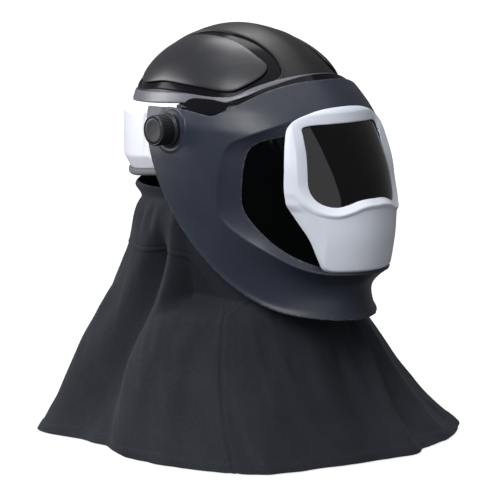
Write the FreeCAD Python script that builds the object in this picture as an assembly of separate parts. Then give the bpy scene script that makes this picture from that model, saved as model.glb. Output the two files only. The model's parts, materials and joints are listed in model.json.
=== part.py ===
"""Powered air respirator head-top: hard hat, clear visor, flip-up welding shield and fabric shroud.

Millimetres. +Z is up, the wearer faces -Y, and the origin is on the floor under the middle of the hem.
"""
import FreeCAD, Part
import os
from math import cos, pi, radians, sin
from FreeCAD import Vector

# ---- driving dimensions -------------------------------------------------------------------
DOME_BASE_Z = 391.0          # widest level of the hard hat
DOME_HEIGHT = 95.0
DOME_HALF_WIDTH = 110.0
DOME_HALF_LENGTH = 149.0
DOME_CENTRE_Y = 15.0
DOME_POWER = 1.55            # fullness of the crown
DOME_WALL = 3.0
TRIM_PROUD = 1.2             # rim trim and crown panels stand this far off the dome
PANEL_PROUD = 1.8

PIVOT_Y = 0.0                # axis that the visor and the shield lift about
PIVOT_Z = 371.0
SPINDLE_R = 6.0
RUNNING_GAP = 0.06
HUB_OUT_X = 112.6            # outer face of the helmet side at the pivot
EAR_IN_X = 112.9             # visor ear plate
EAR_OUT_X = 116.7
WASHER_OUT_X = 117.9
BOSS_IN_X = 118.2            # shield boss round the spindle
BOSS_OUT_X = 129.0
BOSS_R = 21.5
KNOB_IN_X = 129.3
KNOB_FLANGE_X = 133.0
KNOB_OUT_X = 150.0
KNOB_R = 17.5
KNOB_FLANGE_R = 20.5
KNOB_RIBS = 24
KNOB_RIB_R = 1.4
KNOB_CAP_R = 13.0
KNOB_BORE_END_X = 146.0
SPINDLE_IN_X = 103.0         # wearer's side of the spindle head
HUB_IN_X = 106.0
SCREW_PLACES = [(-6, 390), (-6, 354)]
SWEEP_R = 58.0               # the shield arm's rear end swings inside this radius
SEAT_GAP = 0.1               # between curved faces of pieces that are clipped together

SHIELD_WALL = 3.0
FRAME_PROUD = 2.5            # the front frame stands this far off the shield's surface
FRAME_DEPTH = 5.0
PLATE_DEPTH = (5.1, 6.4)     # layers behind the front frame, measured in from the surface
HOLDER_DEPTH = (6.5, 11.0)
FILTER_DEPTH = (7.5, 10.5)
SHIELD_REAR = 165.0          # rear half-length of the shield's sections
# height, half-width and forward reach of the shield's horizontal sections
SHIELD_SECTIONS = [
    (150, 95, 184), (176, 100, 195), (202, 106, 204), (230, 113, 210), (262, 119, 213),
    (290, 123, 213), (320, 126.5, 205), (345, 128, 193), (371, 128, 178), (393, 122, 162),
    (410, 113, 147), (430, 100, 127), (445, 89, 113),
]
# the clear visor's sections, which clear the shield outside and the dome inside
VISOR_SECTIONS = [
    (225, 92, 190), (240, 99, 195), (262, 103, 196), (290, 108, 196), (320, 112.5, 188),
    (345, 115, 177), (371, 116.7, 163), (393, 116, 150), (410, 108, 139), (430, 95, 122),
    (445, 84, 108),
]
# height, half-width, front half-length, rear half-length and centre of the shroud's sections
SHROUD_SECTIONS = [
    (0, 255, 255, 255, 0), (50, 214, 214, 214, 18), (112, 172, 181, 181, 31),
    (192, 126, 142, 142, 34), (212, 118, 150, 132, 34), (228, 112, 180, 124, 34),
    (243, 110, 214, 117, 34), (290, 108, 214, 110, 30), (318, 104, 214, 112, 28),
]
VISOR_WALL = 3.8
LENS_THICKNESS = 2.0
FABRIC = 2.0
HEM_HEIGHT = 12.0
HEM_THICKNESS = 4.0
YOKE_Z = 192.0
CHIN_TOP_Z = 243.0
SHROUD_TOP_Z = 300.0

DUCT_HALF_WIDTH = 118.0
DUCT_REACH = 158.0
DUCT_POWER = 2.6
DUCT_INNER_HALF_WIDTH = 107.0
DUCT_INNER_REACH = 146.0
DUCT_BOTTOM_Z = 312.0
DUCT_FRONT_Y = 4.0
DUCT_WALL = 2.0
DUCT_HOLLOW_TOP_Z = 386.0
DUCT_HOLLOW_FRONT_Y = 66.0
COLLAR_BOTTOM_Z = 300.0
COLLAR_INSET = 5.0

SOCKET_Z = 344.0             # where the breathing-tube socket's axis meets the rear of the duct
SOCKET_SLOPE = 20.0          # degrees below level, so that a straight tube clears the shroud
SOCKET_R = 18.0
SOCKET_BORE_R = 14.0
SOCKET_THROAT_R = 15.0       # the duct's opening behind the bore
SOCKET_THROAT_REACH = 5.5
SOCKET_REACH = 25.5
SEAL_REACH = (12.0, 14.5)
LUG_REACH = (18.5, 22.0)
LUG_HALF_WIDTH = 8.0

BAND_HALF_WIDTH = 80.0
BAND_HALF_LENGTH = 100.0
BAND_THICKNESS = 2.0
BAND_Z = (396.0, 422.0)
STRAP_DEPTH = 24.0            # crown straps hang this far inside the dome's outer surface
STRAP_THICKNESS = 2.0
STRAP_HALF_WIDTH = 9.0
NAPE_Z = (372.0, 394.0)
NAPE_REACH_Y = 120.0
NAPE_CENTRE_Y = 78.0
HOUSING_HALF_WIDTH = 24.0
STRAP_ENDS = [(-90, 15), (90, 15), (0, -109), (0, 139)]
PINION_R = 6.0
PINION_TEETH = 12

# side outlines, as (Y, Z)
RIM_EDGE = [(175, 391), (60, 396), (0, 400), (-50, 401), (-75, 409), (-100, 424), (-130, 436)]
SHIELD_TOP = [(50, 393), (0, 395), (-45, 390), (-66, 392), (-84, 402), (-108, 420), (-126, 430)]
SHIELD_REAR_EDGE = [
    (50, 393), (46, 372), (38, 343), (14, 290), (-34, 230), (-60, 205), (-95, 181), (-129, 167),
    (-165, 161), (-190, 158),
]
VISOR_TOP = [(0, 387), (-30, 397), (-48, 406), (-76, 408), (-100, 423), (-122, 438)]
VISOR_BROW_BOTTOM = [(-30, 356), (-60, 372), (-100, 392), (-160, 400)]
VISOR_REAR_EDGE = [(-14, 356), (-22, 330), (-44, 296), (-90, 264), (-140, 250), (-200, 244)]
CROWN_PANEL = [
    (-84, 438), (-60, 420), (-20, 419), (40, 421), (92, 420), (112, 432), (75, 463), (40, 473),
    (-10, 473), (-50, 462), (-70, 451),
]
SIDE_WINDOW = [
    (-150, 376), (-116, 359), (-108, 343), (-102, 305), (-105, 277), (-137, 244), (-180, 218),
]
# the side window laps behind the shell by this larger outline
WINDOW_LAP = [(-150, 383), (-112, 365), (-101, 345), (-95, 305), (-98, 273), (-132, 237), (-176, 211)]
# front outlines, as (X, Z), right half from the top to the bottom
FRAME_OUTLINE = [
    (0, 400), (34, 398), (58, 390), (74, 379), (84, 345), (88, 312), (84, 284), (70, 253),
    (60, 226), (48, 215), (0, 214),
]
LENS_OUTLINE = [
    (0, 380), (42, 379), (57, 372), (65, 345), (68, 315), (63, 300), (50, 294), (36, 299),
    (20, 303), (0, 303),
]
FAR = 400.0


# ---- helpers ------------------------------------------------------------------------------
def save(name, shape):
    """Write one node's STEP file."""
    shape.exportStep(f"parts/{name}.step")
    print(f"{name:26s} solids {len(shape.Solids)} volume {shape.Volume:10.0f} valid {shape.isValid()}")


def spline(points):
    """Smooth open edge through the points."""
    curve = Part.BSplineCurve()
    curve.interpolate([Vector(*p) for p in points])
    return curve.toShape()


def loop(points):
    """Smooth closed wire through the points."""
    curve = Part.BSplineCurve()
    curve.interpolate([Vector(*p) for p in points], True)
    return Part.Wire(curve.toShape())


def line(a, b):
    return Part.LineSegment(Vector(*a), Vector(*b)).toShape()


def box(x0, x1, y0, y1, z0, z1):
    return Part.makeBox(x1 - x0, y1 - y0, z1 - z0, Vector(x0, y0, z0))


def rod(radius, start, end):
    """Round bar from one point to another."""
    a, b = Vector(*start), Vector(*end)
    return Part.makeCylinder(radius, (b - a).Length, a, b - a)


def ring(outer, inner, start, end):
    return rod(outer, start, end).cut(rod(inner, start, end))


def mirror(shape):
    return shape.mirror(Vector(0, 0, 0), Vector(1, 0, 0))


def signed_power(value, power):
    return (abs(value) ** (2.0 / power)) * (1 if value >= 0 else -1)


def oval(z, half_width, front, rear, centre_y=0.0, power=2.0, count=40):
    """Closed horizontal section made of a front and a rear half."""
    points = []
    for k in range(count):
        t = 2 * pi * k / count
        reach = rear if sin(t) >= 0 else front
        y = centre_y + reach * signed_power(sin(t), power)
        points.append((half_width * signed_power(cos(t), power), y, z))
    return loop(points)


def loft(wires):
    return Part.makeLoft(wires, True, False)


def side_prism(edges, x0=-FAR, x1=FAR):
    """Extrude a closed outline in (Y, Z) along X."""
    face = Part.Face(Part.Wire(Part.__sortEdges__(edges)))
    face.translate(Vector(x0, 0, 0))
    return face.extrude(Vector(x1 - x0, 0, 0))


def side_curve(points):
    return spline([(0, y, z) for y, z in points])


def side_line(a, b):
    return line((0, a[0], a[1]), (0, b[0], b[1]))


def side_polygon(points, x0=-FAR, x1=FAR):
    wire = Part.makePolygon([Vector(x0, y, z) for y, z in points + points[:1]])
    return Part.Face(wire).extrude(Vector(x1 - x0, 0, 0))


def above_curve(points, top=FAR * 2):
    """Everything above a side curve whose first point is at the rear."""
    first, last = points[0], points[-1]
    edges = [side_curve(points), side_line(last, (last[0], top))]
    edges += [side_line((last[0], top), (first[0], top)), side_line((first[0], top), first)]
    return side_prism(edges)


def front_prism(half_outline, y0, y1, grow=0.0):
    """Extrude a mirrored outline in (X, Z) along Y, grown away from its middle height."""
    top, bottom = half_outline[0][1], half_outline[-1][1]
    mid, half = (top + bottom) / 2, (top - bottom) / 2
    width = max(x for x, z in half_outline)
    kx, kz = (width + grow) / width, (half + grow) / half
    right = [(x * kx, mid + (z - mid) * kz) for x, z in half_outline]
    left = [(-x, z) for x, z in reversed(right[1:-1])]
    face = Part.Face(loop([(x, y0, z) for x, z in right + left]))
    return face.extrude(Vector(0, y1 - y0, 0))


def between_levels(shape, z0, z1):
    return shape.common(box(-FAR, FAR, -FAR, FAR, z0, z1))


# ---- master surfaces ----------------------------------------------------------------------
def dome(offset):
    """Solid of the hard hat's outer surface moved out by offset, closed at its base."""
    height = DOME_HEIGHT + offset
    steps = 16
    profile = []
    for k in range(steps + 1):
        angle = pi / 2 * k / steps
        level = sin(angle) ** (2.0 / DOME_POWER)
        profile.append((cos(angle), 0, DOME_BASE_Z + height * level))
    edges = [spline(profile), line((0, 0, DOME_BASE_Z + height), (0, 0, DOME_BASE_Z))]
    edges.append(line((0, 0, DOME_BASE_Z), (1, 0, DOME_BASE_Z)))
    solid = Part.Face(Part.Wire(Part.__sortEdges__(edges))).revolve(Vector(0, 0, 0), Vector(0, 0, 1), 360)
    matrix = FreeCAD.Matrix()
    matrix.scale(DOME_HALF_WIDTH + offset, DOME_HALF_LENGTH + offset, 1)
    solid = solid.transformGeometry(matrix)
    solid.translate(Vector(0, DOME_CENTRE_Y, 0))
    return solid


def shield_form(depth):
    """Solid inside the shield's surface moved in by depth."""
    return loft([oval(z, a - depth, f - depth, SHIELD_REAR - depth) for z, a, f in SHIELD_SECTIONS])


def visor_form(depth):
    return loft([oval(z, a - depth, f - depth, SHIELD_REAR - depth) for z, a, f in VISOR_SECTIONS])


def shroud_form(depth, z0, z1):
    rows = [row for row in SHROUD_SECTIONS if z0 <= row[0] <= z1]
    return loft([oval(z, a - depth, f - depth, r - depth, c) for z, a, f, r, c in rows])


def duct_form(offset, z0, z1):
    reach = DUCT_REACH + offset
    wire = oval(z0, DUCT_HALF_WIDTH + offset, reach, reach, DOME_CENTRE_Y, DUCT_POWER)
    return Part.Face(wire).extrude(Vector(0, 0, z1 - z0))


def duct_inner(offset, z0, z1):
    a, b = DUCT_INNER_HALF_WIDTH + offset, DUCT_INNER_REACH + offset
    return Part.Face(oval(z0, a, b, b, DOME_CENTRE_Y)).extrude(Vector(0, 0, z1 - z0))


# ---- hard hat -----------------------------------------------------------------------------
def helmet_parts(dome_solid):
    above_rim = above_curve(RIM_EDGE)
    shell = dome_solid.cut(dome(-DOME_WALL)).common(above_rim)
    save("helmet_shell", shell)

    raised = dome(TRIM_PROUD).cut(dome_solid)
    higher = above_curve([(y, z + 8) for y, z in RIM_EDGE])
    save("rim_trim", raised.common(above_rim).cut(higher))

    panel_edge = loop([(0, y, z) for y, z in CROWN_PANEL])
    leaf = Part.Face(panel_edge).extrude(Vector(-FAR, 0, 0))
    panel = dome(PANEL_PROUD).cut(dome_solid).common(leaf)
    save("crown_panel_right", panel)
    save("crown_panel_left", mirror(panel))


def rear_duct():
    """White hollow duct that wraps the back of the head from ear to ear."""
    bottom, top = DUCT_BOTTOM_Z, 400
    body = duct_form(0, bottom, top).cut(duct_inner(0, bottom, top))
    body = body.common(box(-FAR, FAR, DUCT_FRONT_Y, FAR, bottom, top))
    body = body.cut(above_curve(RIM_EDGE))
    for side in (-1, 1):
        body = body.cut(rod(SWEEP_R, on_axis(side * HUB_OUT_X), on_axis(side * FAR)))
    body = body.cut(rod(SPINDLE_R, on_axis(-FAR), on_axis(FAR)))
    floor, roof = DUCT_BOTTOM_Z + DUCT_WALL, DUCT_HOLLOW_TOP_Z
    hollow = duct_form(-DUCT_WALL, floor, roof).cut(duct_inner(DUCT_WALL, floor, roof))
    body = body.cut(hollow.common(box(-FAR, FAR, DUCT_HOLLOW_FRONT_Y, FAR, floor, roof)))
    hole = rod(SOCKET_THROAT_R, on_socket(-20), on_socket(SOCKET_THROAT_REACH))
    rear_wall = DOME_CENTRE_Y + DUCT_REACH - 3 * DUCT_WALL
    return body.cut(hole.common(box(-FAR, FAR, rear_wall, FAR, bottom, top)))


def on_axis(x):
    """Point on the lift axis."""
    return x, PIVOT_Y, PIVOT_Z


def on_socket(reach):
    """Point on the breathing-tube socket's axis, this far out from the duct's rear face."""
    slope = radians(SOCKET_SLOPE)
    return 0, DOME_CENTRE_Y + DUCT_REACH + reach * cos(slope), SOCKET_Z - reach * sin(slope)


def duct_parts():
    save("rear_air_duct", rear_duct())
    bottom, top = COLLAR_BOTTOM_Z, DUCT_BOTTOM_Z
    collar = duct_form(-COLLAR_INSET, bottom, top).cut(duct_inner(-2, bottom, top))
    collar = collar.common(box(-FAR, FAR, DUCT_FRONT_Y, FAR, bottom, top))
    save("neck_collar", collar)

    throat_end = on_socket(SOCKET_THROAT_REACH)
    socket = rod(SOCKET_R, on_socket(-20), on_socket(SOCKET_REACH))
    socket = socket.cut(rod(SOCKET_THROAT_R, on_socket(-20), throat_end))
    socket = socket.cut(rod(SOCKET_BORE_R, throat_end, on_socket(SOCKET_REACH)))
    socket = socket.cut(duct_form(0, 250, 400))
    low, high = on_socket(SEAL_REACH[0]), on_socket(SEAL_REACH[1])
    save("breathing_tube_socket", socket.cut(ring(SOCKET_R + 1, SOCKET_R - 2, low, high)))
    save("socket_seal", ring(SOCKET_R + 0.5, SOCKET_R - 2, low, high))
    lugs = ring(SOCKET_R + 2.5, SOCKET_R, on_socket(LUG_REACH[0]), on_socket(LUG_REACH[1]))
    height = on_socket(sum(LUG_REACH) / 2)[2]
    sides = box(-FAR, FAR, 0, FAR, height - LUG_HALF_WIDTH, height + LUG_HALF_WIDTH)
    save("socket_bayonet_lugs", lugs.common(sides))
    save("crown_air_duct", crown_duct())


def crown_duct():
    """Shallow channel that carries air forward under the crown of the shell."""
    low = DOME_BASE_Z + 14
    strip = dome(-DOME_WALL).cut(dome(-DOME_WALL - 9)).common(box(-24, 24, -92, 150, low, 500))
    channel = dome(-DOME_WALL - 2).cut(dome(-DOME_WALL - 7))
    return strip.cut(channel.common(box(-22, 22, -99, 140, low, 500)))


def pivot_parts():
    for side, name in ((-1, "right"), (1, "left")):
        inner, outer = sorted((side * HUB_IN_X, side * HUB_OUT_X))
        plate = side_polygon([(3.8, 350), (3.8, 398), (-6, 398), (-16, 382), (-14, 352)], inner, outer)
        plate = plate.cut(rod(SPINDLE_R, on_axis(inner), on_axis(outer)))
        for y, z in SCREW_PLACES:
            plate = plate.cut(screw_shank(side, y, z))
        save(f"pivot_hub_{name}", plate)
        shank = rod(SPINDLE_R, on_axis(side * HUB_IN_X), on_axis(side * (KNOB_BORE_END_X - 0.5)))
        head = rod(9, on_axis(side * SPINDLE_IN_X), on_axis(side * HUB_IN_X))
        save(f"pivot_spindle_{name}", shank.fuse(head).removeSplitter())
    screws = [hub_screw(side, y, z) for side in (-1, 1) for y, z in SCREW_PLACES]
    save("hub_screws", Part.makeCompound(screws))


def screw_shank(side, y, z):
    return rod(2, (side * 104, y, z), (side * 110, y, z))


def hub_screw(side, y, z):
    head = rod(3.5, (side * SPINDLE_IN_X, y, z), (side * HUB_IN_X, y, z))
    return screw_shank(side, y, z).fuse(head).removeSplitter()


# ---- head harness -------------------------------------------------------------------------
def arc_band(half_width, half_length, centre_y, thickness, arm_y, levels, rear):
    """Upright strap: half an oval with straight arms running to arm_y."""
    low, high = levels
    band = upright_oval(half_width, half_length, centre_y, low, high)
    band = band.cut(upright_oval(half_width - thickness, half_length - thickness, centre_y, low, high))
    front, back = (centre_y, FAR) if rear else (-FAR, centre_y)
    band = band.common(box(-FAR, FAR, front, back, low, high))
    front, back = sorted((centre_y, arm_y))
    for side in (-1, 1):
        inner, outer = sorted((side * half_width, side * (half_width - thickness)))
        band = band.fuse(box(inner, outer, front, back, low, high))
    return band.removeSplitter()


def harness_parts():
    low, high = BAND_Z
    levels = (low - 14, high - 4)
    band = arc_band(BAND_HALF_WIDTH, BAND_HALF_LENGTH, DOME_CENTRE_Y, BAND_THICKNESS, 55, levels, False)
    save("headband_front", band)
    a, b = BAND_HALF_WIDTH - BAND_THICKNESS, BAND_HALF_LENGTH - BAND_THICKNESS
    pad = upright_oval(a, b, DOME_CENTRE_Y, low - 12, low + 12)
    pad = pad.cut(upright_oval(a - 6, b - 6, DOME_CENTRE_Y, low - 12, low + 12))
    save("brow_pad", pad.common(box(-60, 60, -FAR, -20, 300, 500)))

    low = DOME_BASE_Z + 20
    reach = dome(-STRAP_DEPTH).cut(dome(-STRAP_DEPTH - STRAP_THICKNESS))
    save("crown_strap_long", reach.common(box(-STRAP_HALF_WIDTH, STRAP_HALF_WIDTH, -FAR, FAR, low, 500)))
    depth = STRAP_DEPTH + STRAP_THICKNESS + 0.2
    across = dome(-depth).cut(dome(-depth - STRAP_THICKNESS))
    front, rear = DOME_CENTRE_Y - STRAP_HALF_WIDTH, DOME_CENTRE_Y + STRAP_HALF_WIDTH
    save("crown_strap_cross", across.common(box(-FAR, FAR, front, rear, low, 500)))
    depth += STRAP_THICKNESS + 0.2
    pad = dome(-depth).cut(dome(-depth - 5.6))
    save("crown_pad", pad.common(rod(34, (0, DOME_CENTRE_Y, 420), (0, DOME_CENTRE_Y, 500))))
    save("strap_anchors", Part.makeCompound([strap_anchor(x, y) for x, y in STRAP_ENDS]))


def strap_anchor(x, y):
    """Key that hangs a crown strap inside the rim of the shell."""
    block = box(x - 9, x + 9, y - 9, y + 9, DOME_BASE_Z + 9, DOME_BASE_Z + 26)
    clear_of_duct = 9.2 if x == 0 else 0
    return block.cut(dome(-STRAP_DEPTH)).common(dome(-DOME_WALL - clear_of_duct))


def upright_oval(half_width, half_length, centre_y, low, high):
    face = Part.Face(oval(low, half_width, half_length, half_length, centre_y))
    return face.extrude(Vector(0, 0, high - low))


def nape_parts():
    low, high = NAPE_Z
    half = BAND_HALF_WIDTH + 3.2
    reach = NAPE_REACH_Y - NAPE_CENTRE_Y
    save("nape_band", arc_band(half, reach, NAPE_CENTRE_Y, BAND_THICKNESS, 30, NAPE_Z, True))
    pad = upright_oval(half - 2.2, reach - 2.2, NAPE_CENTRE_Y, low + 1, high - 1)
    pad = pad.cut(upright_oval(half - 8, reach - 8, NAPE_CENTRE_Y, low + 1, high - 1))
    save("nape_pad", pad.common(box(-55, 55, 90, FAR, 300, 500)))

    mid = (low + high) / 2
    def at(depth):
        return 0, NAPE_REACH_Y + depth, mid
    w = HOUSING_HALF_WIDTH
    housing = box(-w, w, NAPE_REACH_Y + 0.2, NAPE_REACH_Y + 12, low - 2, high + 2)
    housing = housing.cut(rod(11, at(-1), at(9))).cut(rod(4.06, at(0), at(13)))
    save("ratchet_housing", housing)
    pinion = gear(at(2), PINION_R, PINION_TEETH, 6)
    save("ratchet_pinion", pinion.fuse(rod(4, at(8), at(12.4))))
    save("ratchet_knob", fluted(rod(15, at(12.4), at(24)), at(0), 16.2, 14, 2.2, 40))


def gear(base, pitch_r, teeth, length):
    """Small spur pinion on an axis along Y."""
    body = rod(pitch_r - 1, base, (base[0], base[1] + length, base[2]))
    for k in range(teeth):
        tooth = box(pitch_r - 1.5, pitch_r + 1, 0, length, -0.7, 0.7)
        tooth.rotate(Vector(0, 0, 0), Vector(0, 1, 0), 360.0 * k / teeth)
        tooth.translate(Vector(*base))
        body = body.fuse(tooth)
    return body.removeSplitter()


def fluted(solid, base, radius, count, flute_r, length):
    """Cut grip flutes round an axis along Y."""
    for k in range(count):
        a = 2 * pi * k / count
        x, z = base[0] + radius * cos(a), base[2] + radius * sin(a)
        solid = solid.cut(rod(flute_r, (x, base[1], z), (x, base[1] + length, z)))
    return solid


def deflector_part():
    """Vane that slides across the front mouth of the crown duct."""
    return side_polygon([(-98, 421), (-76, 439.5), (-75, 438.3), (-97, 419.8)], -30, 8)


# ---- fabric shroud ------------------------------------------------------------------------
def shroud_parts(frame):
    wall = shroud_form(0, 0, YOKE_Z).cut(shroud_form(FABRIC, 0, YOKE_Z))
    save("shroud_skirt", between_levels(wall, HEM_HEIGHT, YOKE_Z))
    hem = shroud_form(0, 0, YOKE_Z).cut(shroud_form(HEM_THICKNESS, 0, YOKE_Z))
    save("shroud_hem", between_levels(hem, 0, HEM_HEIGHT))
    upper = shroud_form(0, YOKE_Z, 320).cut(shroud_form(FABRIC, YOKE_Z, 320))
    outline = [(-12, YOKE_Z), (-12, CHIN_TOP_Z), (6, SHROUD_TOP_Z), (FAR, SHROUD_TOP_Z), (FAR, YOKE_Z)]
    rear = side_polygon(outline)
    front = box(-FAR, FAR, -FAR, -12, YOKE_Z, CHIN_TOP_Z)
    save("shroud_yoke", upper.common(rear))
    save("shroud_chin_panel", upper.common(front).cut(frame))


# ---- visor --------------------------------------------------------------------------------
def visor_region():
    """Side outline of the whole visor, ears included."""
    edges = [side_curve(VISOR_TOP), side_line(VISOR_TOP[-1], (-240, 438))]
    edges += [side_line((-240, 438), (-240, 244)), side_line((-240, 244), VISOR_REAR_EDGE[-1])]
    edges += [side_curve(VISOR_REAR_EDGE[::-1]), side_line(VISOR_REAR_EDGE[0], VISOR_TOP[0])]
    return side_prism(edges).fuse(rod(16, on_axis(-FAR), on_axis(FAR)))


def visor_parts():
    outer = visor_form(0)
    wall = outer.cut(visor_form(VISOR_WALL)).common(visor_region()).cut(dome(TRIM_PROUD + 0.8))
    wall = wall.cut(box(-FAR, FAR, 20, FAR, 200, 500))
    wall = wall.cut(box(-EAR_IN_X, EAR_IN_X, -31, 20, 300, 398))
    wall = wall.cut(rod(SPINDLE_R + RUNNING_GAP, on_axis(-FAR), on_axis(FAR)))
    brow = VISOR_BROW_BOTTOM
    edges = [side_curve(brow), side_line(brow[-1], (-240, 400)), side_line((-240, 400), (-240, 240))]
    edges += [side_line((-240, 240), (-30, 240)), side_line((-30, 240), brow[0])]
    light = side_prism(edges)
    pane = light.common(visor_inset(9))
    save("visor_frame", wall.cut(pane))
    save("visor_lens", outer.cut(visor_form(LENS_THICKNESS)).common(pane))
    seal = visor_form(LENS_THICKNESS + SEAT_GAP).cut(visor_form(5)).common(pane)
    seal = seal.cut(light.common(visor_inset(13)))
    save("visor_gasket", seal.cut(box(-FAR, FAR, -FAR, FAR, 330, 500)))
    for side, name in ((-1, "right"), (1, "left")):
        washer = ring(13, SPINDLE_R + RUNNING_GAP, on_axis(side * EAR_OUT_X), on_axis(side * WASHER_OUT_X))
        save(f"friction_washer_{name}", washer.cut(outer))


def visor_inset(width):
    """Region forward of and above the visor's lower rear edge by a margin."""
    moved = [(y - width, z + width) for y, z in VISOR_REAR_EDGE]
    moved[-1] = (-240, 244 + width)
    corner = (moved[0][0], 500)
    edges = [side_curve(moved), side_line(moved[0], corner), side_line(corner, (-240, 500))]
    edges.append(side_line((-240, 500), moved[-1]))
    return side_prism(edges)


def face_frame():
    """U-shaped frame of the face opening: the shroud is sewn to it and the visor closes on it."""
    body = visor_form(5.4).cut(visor_form(8))
    outer = [(6, 352), (-4, 326), (-30, 288), (-80, 254), (-135, 240), (-200, 234)]
    inner = [(y - 12, z + 12) for y, z in outer]
    inner[-1] = (-200, 246)
    edges = [side_curve(outer), side_line(outer[-1], inner[-1])]
    edges += [side_curve(inner[::-1]), side_line(inner[0], outer[0])]
    clear_of_hubs = box(-FAR, FAR, -FAR, DUCT_FRONT_Y - 0.2, 200, 349.8)
    return body.common(side_prism(edges)).common(clear_of_hubs)


# ---- welding shield -----------------------------------------------------------------------
def shield_region():
    """Side outline of the shield's shell."""
    top, rear = SHIELD_TOP, SHIELD_REAR_EDGE
    edges = [side_curve(top), side_line(top[-1], (-240, 430)), side_line((-240, 430), (-240, 158))]
    edges += [side_line((-240, 158), rear[-1]), side_curve(rear[::-1])]
    return side_prism(edges)


def window_prism(outline):
    """Side-window region: the outline, closed off in front of the shield."""
    first, last = outline[0], outline[-1]
    edges = [side_curve(outline), side_line(last, (-230, last[1]))]
    edges += [side_line((-230, last[1]), (-230, first[1])), side_line((-230, first[1]), first)]
    return side_prism(edges)


def shield_parts():
    frame_hole = front_prism(FRAME_OUTLINE, -260, -60)
    shell = shield_form(0).cut(shield_form(SHIELD_WALL)).common(shield_region())
    shell = shell.cut(frame_hole).cut(window_prism(SIDE_WINDOW))
    for side in (-1, 1):
        boss = rod(BOSS_R, on_axis(side * BOSS_IN_X), on_axis(side * BOSS_OUT_X))
        shell = shell.fuse(boss.cut(box(-FAR, FAR, -FAR, FAR, PIVOT_Z + 18, 500)))
    shell = shell.cut(rod(SPINDLE_R + RUNNING_GAP, on_axis(-FAR), on_axis(FAR)))
    save("shield_shell", shell)

    lens_hole = front_prism(LENS_OUTLINE, -260, -60)
    frame = shield_form(-FRAME_PROUD).cut(shield_form(FRAME_DEPTH)).common(frame_hole)
    save("front_frame", frame.cut(lens_hole))
    window = shield_form(SHIELD_WALL + SEAT_GAP).cut(shield_form(SHIELD_WALL + 2.5))
    window = window.common(window_prism(WINDOW_LAP)).cut(frame_hole)
    right = window.common(box(-FAR, 0, -FAR, 0, 150, 450))
    save("side_window_right", right)
    save("side_window_left", mirror(right))
    plate = shield_form(PLATE_DEPTH[0]).cut(shield_form(PLATE_DEPTH[1]))
    save("outer_cover_plate", plate.common(front_prism(LENS_OUTLINE, -260, -60, 6)))
    holder = shield_form(HOLDER_DEPTH[0]).cut(shield_form(HOLDER_DEPTH[1]))
    holder = holder.common(front_prism(LENS_OUTLINE, -260, -60, 10))
    save("filter_holder", holder.cut(lens_hole))
    glass = shield_form(FILTER_DEPTH[0]).cut(shield_form(FILTER_DEPTH[1]))
    save("welding_filter", glass.common(lens_hole))


def knob_parts():
    for side, name in ((-1, "right"), (1, "left")):
        body = rod(KNOB_FLANGE_R, on_axis(side * KNOB_IN_X), on_axis(side * KNOB_FLANGE_X))
        body = body.fuse(rod(KNOB_R, on_axis(side * KNOB_FLANGE_X), on_axis(side * (KNOB_OUT_X - 2))))
        for k in range(KNOB_RIBS):
            a = 2 * pi * k / KNOB_RIBS
            y, z = PIVOT_Y + (KNOB_R + 0.6) * cos(a), PIVOT_Z + (KNOB_R + 0.6) * sin(a)
            body = body.cut(rod(KNOB_RIB_R, (side * (KNOB_FLANGE_X + 1), y, z), (side * KNOB_OUT_X, y, z)))
        bore = rod(SPINDLE_R + RUNNING_GAP, on_axis(side * KNOB_IN_X), on_axis(side * KNOB_BORE_END_X))
        cap = rod(KNOB_CAP_R, on_axis(side * (KNOB_OUT_X - 3.5)), on_axis(side * KNOB_OUT_X))
        save(f"tension_knob_{name}", body.cut(bore).cut(cap))
        save(f"knob_cap_{name}", cap)


def main():
    os.makedirs("parts", exist_ok=True)
    helmet_parts(dome(0))
    duct_parts()
    pivot_parts()
    harness_parts()
    nape_parts()
    save("air_deflector", deflector_part())
    frame = face_frame()
    save("face_frame", frame)
    shroud_parts(frame)
    visor_parts()
    shield_parts()
    knob_parts()


main()
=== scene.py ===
"""Looks of the powered air respirator head-top: hard hat, visor, welding shield and fabric shroud.

Metres in Blender. Shapes are worked out in millimetres in the CAD model's frame and scaled once.
"""
import json
import bmesh
import bpy
import numpy as np
from math import cos, pi, radians, sin
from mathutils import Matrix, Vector


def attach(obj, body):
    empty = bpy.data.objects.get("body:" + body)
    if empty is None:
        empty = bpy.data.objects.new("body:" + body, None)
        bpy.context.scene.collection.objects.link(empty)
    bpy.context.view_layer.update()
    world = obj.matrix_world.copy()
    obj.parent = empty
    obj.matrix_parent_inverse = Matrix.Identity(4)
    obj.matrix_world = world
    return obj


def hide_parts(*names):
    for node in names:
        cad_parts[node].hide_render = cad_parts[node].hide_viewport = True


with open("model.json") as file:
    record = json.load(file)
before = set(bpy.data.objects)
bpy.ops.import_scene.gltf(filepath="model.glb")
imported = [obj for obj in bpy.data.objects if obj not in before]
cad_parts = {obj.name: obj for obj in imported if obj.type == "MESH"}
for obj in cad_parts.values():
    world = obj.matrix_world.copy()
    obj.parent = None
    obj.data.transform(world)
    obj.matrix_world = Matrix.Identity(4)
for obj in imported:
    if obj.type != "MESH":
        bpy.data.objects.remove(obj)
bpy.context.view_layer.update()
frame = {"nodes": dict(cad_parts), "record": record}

MM = 0.001

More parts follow.
